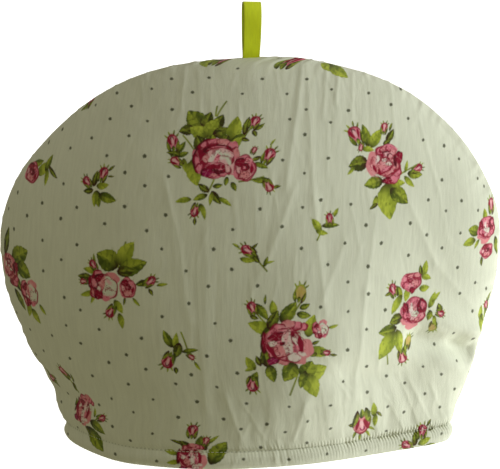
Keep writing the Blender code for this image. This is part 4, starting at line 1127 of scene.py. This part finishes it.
def makeLoop(name, material):
    crest = crestHeight(form["tapeAcross"])
    line, length = tapeLine(crest)
    run = np.gradient(line, axis=0)
    run /= np.linalg.norm(run, axis=1, keepdims=True)
    normal = np.stack([-run[:, 1], run[:, 0]], axis=1)
    columns = tape["columns"]
    profile = []
    for index in range(columns + 1):
        t = index / columns
        edge = min(t, 1 - t) * tape["width"] / tape["edgeRound"]
        thick = math.sqrt(min(1.0, tape["edgeLeast"] + edge * (1 - tape["edgeLeast"])))
        profile.append((t, tape["thickness"] / 2 * thick))
    ring = profile + [(t, -h) for t, h in reversed(profile)]
    size = len(ring)
    vertices = []
    flat = []
    for row, (out, height) in enumerate(line):
        share = np.clip((height - crest) / tape["rise"], 0, 1)
        left = form["tapeAcross"] + tape["aside"] - tape["width"] / 2
        right = form["tapeAcross"] + tape["aside"] + tape["width"] / 2 - tape["narrowing"] * (1 - share) ** 2
        free = smoothStep(height, crest + 4, crest + 16)
        twist = tape["twist"] * smoothStep(height, crest - 1, crest + 9)
        for t, h in ring:
            wave = tape["wave"] * free * math.sin(row * 0.11 + t * 2.6)
            spot = line[row] + normal[row] * (h + wave)
            aside = (t - 0.5) * (right - left)
            vertices.append(((left + right) / 2 + aside * math.cos(twist) - spot[0] * math.sin(twist),
                             aside * math.sin(twist) + spot[0] * math.cos(twist), spot[1]))
            flat.append((t, row / (len(line) - 1) + (0 if h > 0 else 1.2)))
    faces = tubeFaces(0, len(line), size)
    for base, forward in ((0, True), ((len(line) - 1) * size, False)):
        for side in range(columns):
            other = size - 1 - side
            quad = (base + side, base + other, base + other - 1, base + side + 1)
            faces.append(quad if forward else quad[::-1])
    data = bpy.data.meshes.new(name)
    data.from_pydata(onFrame(np.array(vertices)).tolist(), [], faces)
    layer = data.uv_layers.new(name="cloth")
    for loop in data.loops:
        layer.data[loop.index].uv = flat[loop.vertex_index]
    print(name, "made, tape length", round(length, 1))
    return newPiece(name, data, material, tape["sharp"]), length


# Materials
def newMaterial(name, looks):
    material = bpy.data.materials.new(name)
    material.use_nodes = True
    nodes = material.node_tree.nodes
    shader = nodes["Principled BSDF"]
    for key, value in looks.items():
        shader.inputs[key].default_value = value
    return material, nodes, material.node_tree.links, shader


def addNode(nodes, kind, inputs=None, **values):
    node = nodes.new(kind)
    for key, value in values.items():
        setattr(node, key, value)
    for key, value in (inputs or {}).items():
        node.inputs[key].default_value = value
    return node


def noiseNode(nodes, links, place, **inputs):
    node = addNode(nodes, "ShaderNodeTexNoise", inputs)
    links.new(place, node.inputs["Vector"])
    return node.outputs["Fac"]


def stretchedPlace(nodes, links, place, scale):
    node = addNode(nodes, "ShaderNodeMapping", {"Scale": scale})
    links.new(place, node.inputs["Vector"])
    return node.outputs[0]


def mathNode(nodes, links, operation, *values):
    node = addNode(nodes, "ShaderNodeMath", operation=operation)
    for socket, value in zip(node.inputs, values):
        if isinstance(value, (int, float)):
            socket.default_value = value
        else:
            links.new(value, socket)
    return node.outputs[0]


def bumpNode(nodes, links, height, strength, distance, after=None):
    node = addNode(nodes, "ShaderNodeBump", {"Strength": strength, "Distance": distance})
    links.new(height, node.inputs["Height"])
    if after:
        links.new(after, node.inputs["Normal"])
    return node.outputs[0]


def shadeColour(nodes, links, shader, colour, value):
    # the colour, made a little lighter and darker from place to place
    hue = addNode(nodes, "ShaderNodeHueSaturation")
    links.new(colour, hue.inputs["Color"])
    links.new(value, hue.inputs["Value"])
    links.new(hue.outputs["Color"], shader.inputs["Base Color"])


def weaveHeight(nodes, links, pitch, span):
    # plain weave: threads over and under in both directions, from the cloth's own flat places
    flat = addNode(nodes, "ShaderNodeUVMap", uv_map="cloth").outputs[0]
    split = addNode(nodes, "ShaderNodeSeparateXYZ")
    links.new(flat, split.inputs[0])
    waves = []
    for axis in (0, 1):
        turns = mathNode(nodes, links, "MULTIPLY", split.outputs[axis], span[axis] * 2 * math.pi / pitch)
        waves.append(mathNode(nodes, links, "SINE", turns))
    return mathNode(nodes, links, "MULTIPLY", *waves), flat, split.outputs[0]


cottonLooks = {
    "weave": (0.62, (100, 100), 0.35, 0.00006),
    "mottle": {"Scale": 9.0, "Detail": 6.0, "Roughness": 0.65}, "mottleShade": (0.07, 0.955),
    "grain": {"Scale": 130.0, "Detail": 3.0}, "grainShade": (0.10, 0.95),
    # painted sheen: streaks stretched up the cloth, a little lighter and darker in the base colour
    "paintedSheen": {"Scale": 1.0, "Detail": 4.0}, "paintedSheenScale": (42.0, 4.5, 1.0), "paintedSheenShade": (0.22, 0.89),
    "crumple": {"Scale": 16.0, "Detail": 4.0}, "crumpleScale": (2.2, 0.5, 1.0),
    "crumpleBump": (0.35, 0.0006),
    "surface": {"Roughness": 0.82, "Specular IOR Level": 0.14, "Sheen Weight": 0.16, "Sheen Roughness": 0.5},
}


def makeCotton(name):
    looks = cottonLooks
    material, nodes, links, shader = newMaterial(name, looks["surface"])
    # the printed colours, with the painted needle-hole shadows among them
    tint = addNode(nodes, "ShaderNodeAttribute", attribute_name="print")
    pitch, span, strength, distance = looks["weave"]
    weave, flat = weaveHeight(nodes, links, pitch, span)[:2]
    # the third layer is painted sheen, light and dark streaks up the cloth that stand in for the light on
    # fine wrinkles; mottle and grain are the cloth's own uneven tone
    paintedSheenPlace = stretchedPlace(nodes, links, flat, looks["paintedSheenScale"])
    total = None
    for layer, place in (("mottle", flat), ("grain", flat), ("paintedSheen", paintedSheenPlace)):
        noise = noiseNode(nodes, links, place, **looks[layer])
        shade = mathNode(nodes, links, "MULTIPLY_ADD", noise, *looks[layer + "Shade"])
        total = shade if total is None else mathNode(nodes, links, "MULTIPLY", total, shade)
    shadeColour(nodes, links, shader, tint.outputs["Color"], total)
    crumplePlace = stretchedPlace(nodes, links, flat, looks["crumpleScale"])
    crumple = noiseNode(nodes, links, crumplePlace, **looks["crumple"])
    woven = bumpNode(nodes, links, weave, strength, distance)
    links.new(bumpNode(nodes, links, crumple, *looks["crumpleBump"], after=woven), shader.inputs["Normal"])
    return material


tapeLooks = {
    "weave": (1.0, (11.2 / 0.7, 96 / 0.7), 0.5, 0.0001),
    "mottle": {"Scale": 14.0, "Detail": 5.0}, "mottleShade": (0.25, 0.87),
    "surface": {"Roughness": 0.65, "Sheen Weight": 0.25, "Sheen Roughness": 0.4},
    "stops": ((0.0, (0.30, 0.34, 0.002)), (0.04, (0.60, 0.70, 0.003)), (0.12, (0.80, 0.95, 0.004)),
              (0.88, (0.84, 0.97, 0.004)), (0.96, (0.66, 0.76, 0.003)), (1.0, (0.30, 0.34, 0.002))),
}


def makeTapeCloth(name):
    looks = tapeLooks
    material, nodes, links, shader = newMaterial(name, looks["surface"])
    pitch, span, strength, distance = looks["weave"]
    weave, flat, acrossPlace = weaveHeight(nodes, links, pitch, span)
    # lime, darker at both woven edges
    ramp = addNode(nodes, "ShaderNodeValToRGB")
    elements = ramp.color_ramp.elements
    while len(elements) < len(looks["stops"]):
        elements.new(0.5)
    for element, (place, colour) in zip(elements, looks["stops"]):
        element.position = place
        element.color = (*colour, 1.0)
    links.new(acrossPlace, ramp.inputs[0])
    noise = noiseNode(nodes, links, flat, **looks["mottle"])
    shade = mathNode(nodes, links, "MULTIPLY_ADD", noise, *looks["mottleShade"])
    shadeColour(nodes, links, shader, ramp.outputs[0], shade)
    links.new(bumpNode(nodes, links, weave, strength, distance), shader.inputs["Normal"])
    return material


threadLooks = {
    "fibre": {"Scale": 900.0}, "bump": (0.4, 0.0001),
    "colours": ((0.62, 0.65, 0.50, 1), (0.80, 0.83, 0.68, 1)),
    "surface": {"Roughness": 0.6, "Sheen Weight": 0.2},
}


def makeThread(name):
    looks = threadLooks
    material, nodes, links, shader = newMaterial(name, looks["surface"])
    place = addNode(nodes, "ShaderNodeTexCoord").outputs["Object"]
    noise = noiseNode(nodes, links, place, **looks["fibre"])
    ramp = addNode(nodes, "ShaderNodeValToRGB")
    for element, colour in zip(ramp.color_ramp.elements, looks["colours"]):
        element.color = colour
    links.new(noise, ramp.inputs[0])
    links.new(ramp.outputs[0], shader.inputs["Base Color"])
    links.new(bumpNode(nodes, links, noise, *looks["bump"]), shader.inputs["Normal"])
    return material


# The pieces. Each panel's belly and lean are shares of the sections' own.
frontPanel = {"side": -1.0, "belly": 1.00, "lean": 1.0, "seed": 11, "layout": frontLayout,
              "folds": {"broad": frontFolds + frontSwells, "fine": frontCreases}}
backPanel = {"side": 1.0, "belly": 0.99, "lean": 0.5, "seed": 31, "layout": backLayout,
             "folds": {"broad": backFolds, "fine": backCreases}}

cotton = makeCotton("cotton")
thread = makeThread("thread")
tapeCloth = makeTapeCloth("tape cloth")
print("materials made")

frontPiece, frontTable, frontSet = makePanel("front_panel", frontPanel, cotton)
backPiece, backTable, backSet = makePanel("back_panel", backPanel, cotton)
frontStitches = makeStitches("front_hem_stitches", frontPanel, frontTable, frontSet, thread)
backStitches = makeStitches("back_hem_stitches", backPanel, backTable, backSet, thread)
loopPiece, tapeLength = makeLoop("tape_loop", tapeCloth)

for piece in (frontPiece, backPiece, frontStitches, backStitches, loopPiece):
    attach(piece, "root")
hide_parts("panel_front")
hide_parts("panel_back")
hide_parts("hanging_loop")

# Camera, lights and floor
shot = {"target": (0.0, 0.0, 0.142), "distance": 1.3, "elevation": 12.5, "lens": 141.24, "sensor": 36.0}
lamps = {
    "key": {"from": (0.98, -0.10, 0.15), "power": 2.75, "soft": 30.0, "colour": (0.92, 0.955, 1.0)},
    "top": {"from": (0.0, -0.25, 1.0), "power": 0.30, "soft": 90.0, "colour": (0.88, 0.86, 1.0)},
    "table": {"from": (0.60, 0.28, -0.75), "power": 2.50, "soft": 30.0, "colour": (1.0, 1.0, 0.97)},
}
studio = {"soft": (0.240, 0.222, 0.148, 1), "white": (1, 1, 1, 1), "drop": 0.0002}
floorLooks = {"Base Color": (0.93, 0.93, 0.92, 1), "Roughness": 0.9,
              "Emission Color": (1, 1, 1, 1), "Emission Strength": 1.0}


def aimed(name, data, away, place):
    # put in the scene at a place, looking the opposite way to away
    holder = bpy.data.objects.new(name, data)
    holder.location = place
    holder.rotation_mode = "QUATERNION"
    holder.rotation_quaternion = (-away).to_track_quat("-Z", "Y")
    bpy.context.collection.objects.link(holder)
    return holder


tilt = math.radians(shot["elevation"])
away = Vector((0.0, -math.cos(tilt), math.sin(tilt)))
stand = Vector(shot["target"]) + away * shot["distance"]
camera = aimed("camera", bpy.data.cameras.new("camera"), away, stand)
camera.data.lens = shot["lens"]
camera.data.sensor_width = shot["sensor"]
bpy.context.scene.camera = camera

for name, settings in lamps.items():
    lamp = bpy.data.lights.new(name, "SUN")
    lamp.energy = settings["power"]
    lamp.angle = math.radians(settings["soft"])
    lamp.color = settings["colour"]
    aimed(name, lamp, Vector(settings["from"]), Vector(settings["from"]) * 2)

# a soft light all round, and plain white behind the cosy
world = bpy.data.worlds.new("studio")
bpy.context.scene.world = world
world.use_nodes = True
worldNodes = world.node_tree.nodes
worldLinks = world.node_tree.links
worldNodes.clear()
output = worldNodes.new("ShaderNodeOutputWorld")
blend = worldNodes.new("ShaderNodeMixShader")
seen = worldNodes.new("ShaderNodeLightPath")
worldLinks.new(seen.outputs["Is Camera Ray"], blend.inputs[0])
for socket, colour in ((1, studio["soft"]), (2, studio["white"])):
    light = addNode(worldNodes, "ShaderNodeBackground", {"Color": colour})
    worldLinks.new(light.outputs[0], blend.inputs[socket])
worldLinks.new(blend.outputs[0], output.inputs[0])

floorData = bpy.data.meshes.new("floor")
floorData.from_pydata([(-6, -4, 0), (6, -4, 0), (6, 9, 0), (-6, 9, 0)], [], [(0, 1, 2, 3)])
floorData.materials.append(newMaterial("floor", floorLooks)[0])
floor = bpy.data.objects.new("floor", floorData)
floor.location.z = -studio["drop"]
floor.visible_diffuse = False
floor.visible_glossy = False
floor.visible_shadow = False
bpy.context.collection.objects.link(floor)
print("camera, lights and floor set")

bpy.context.scene.view_settings.view_transform = "Standard"
bpy.context.scene.view_settings.look = "None"

print("scene made")
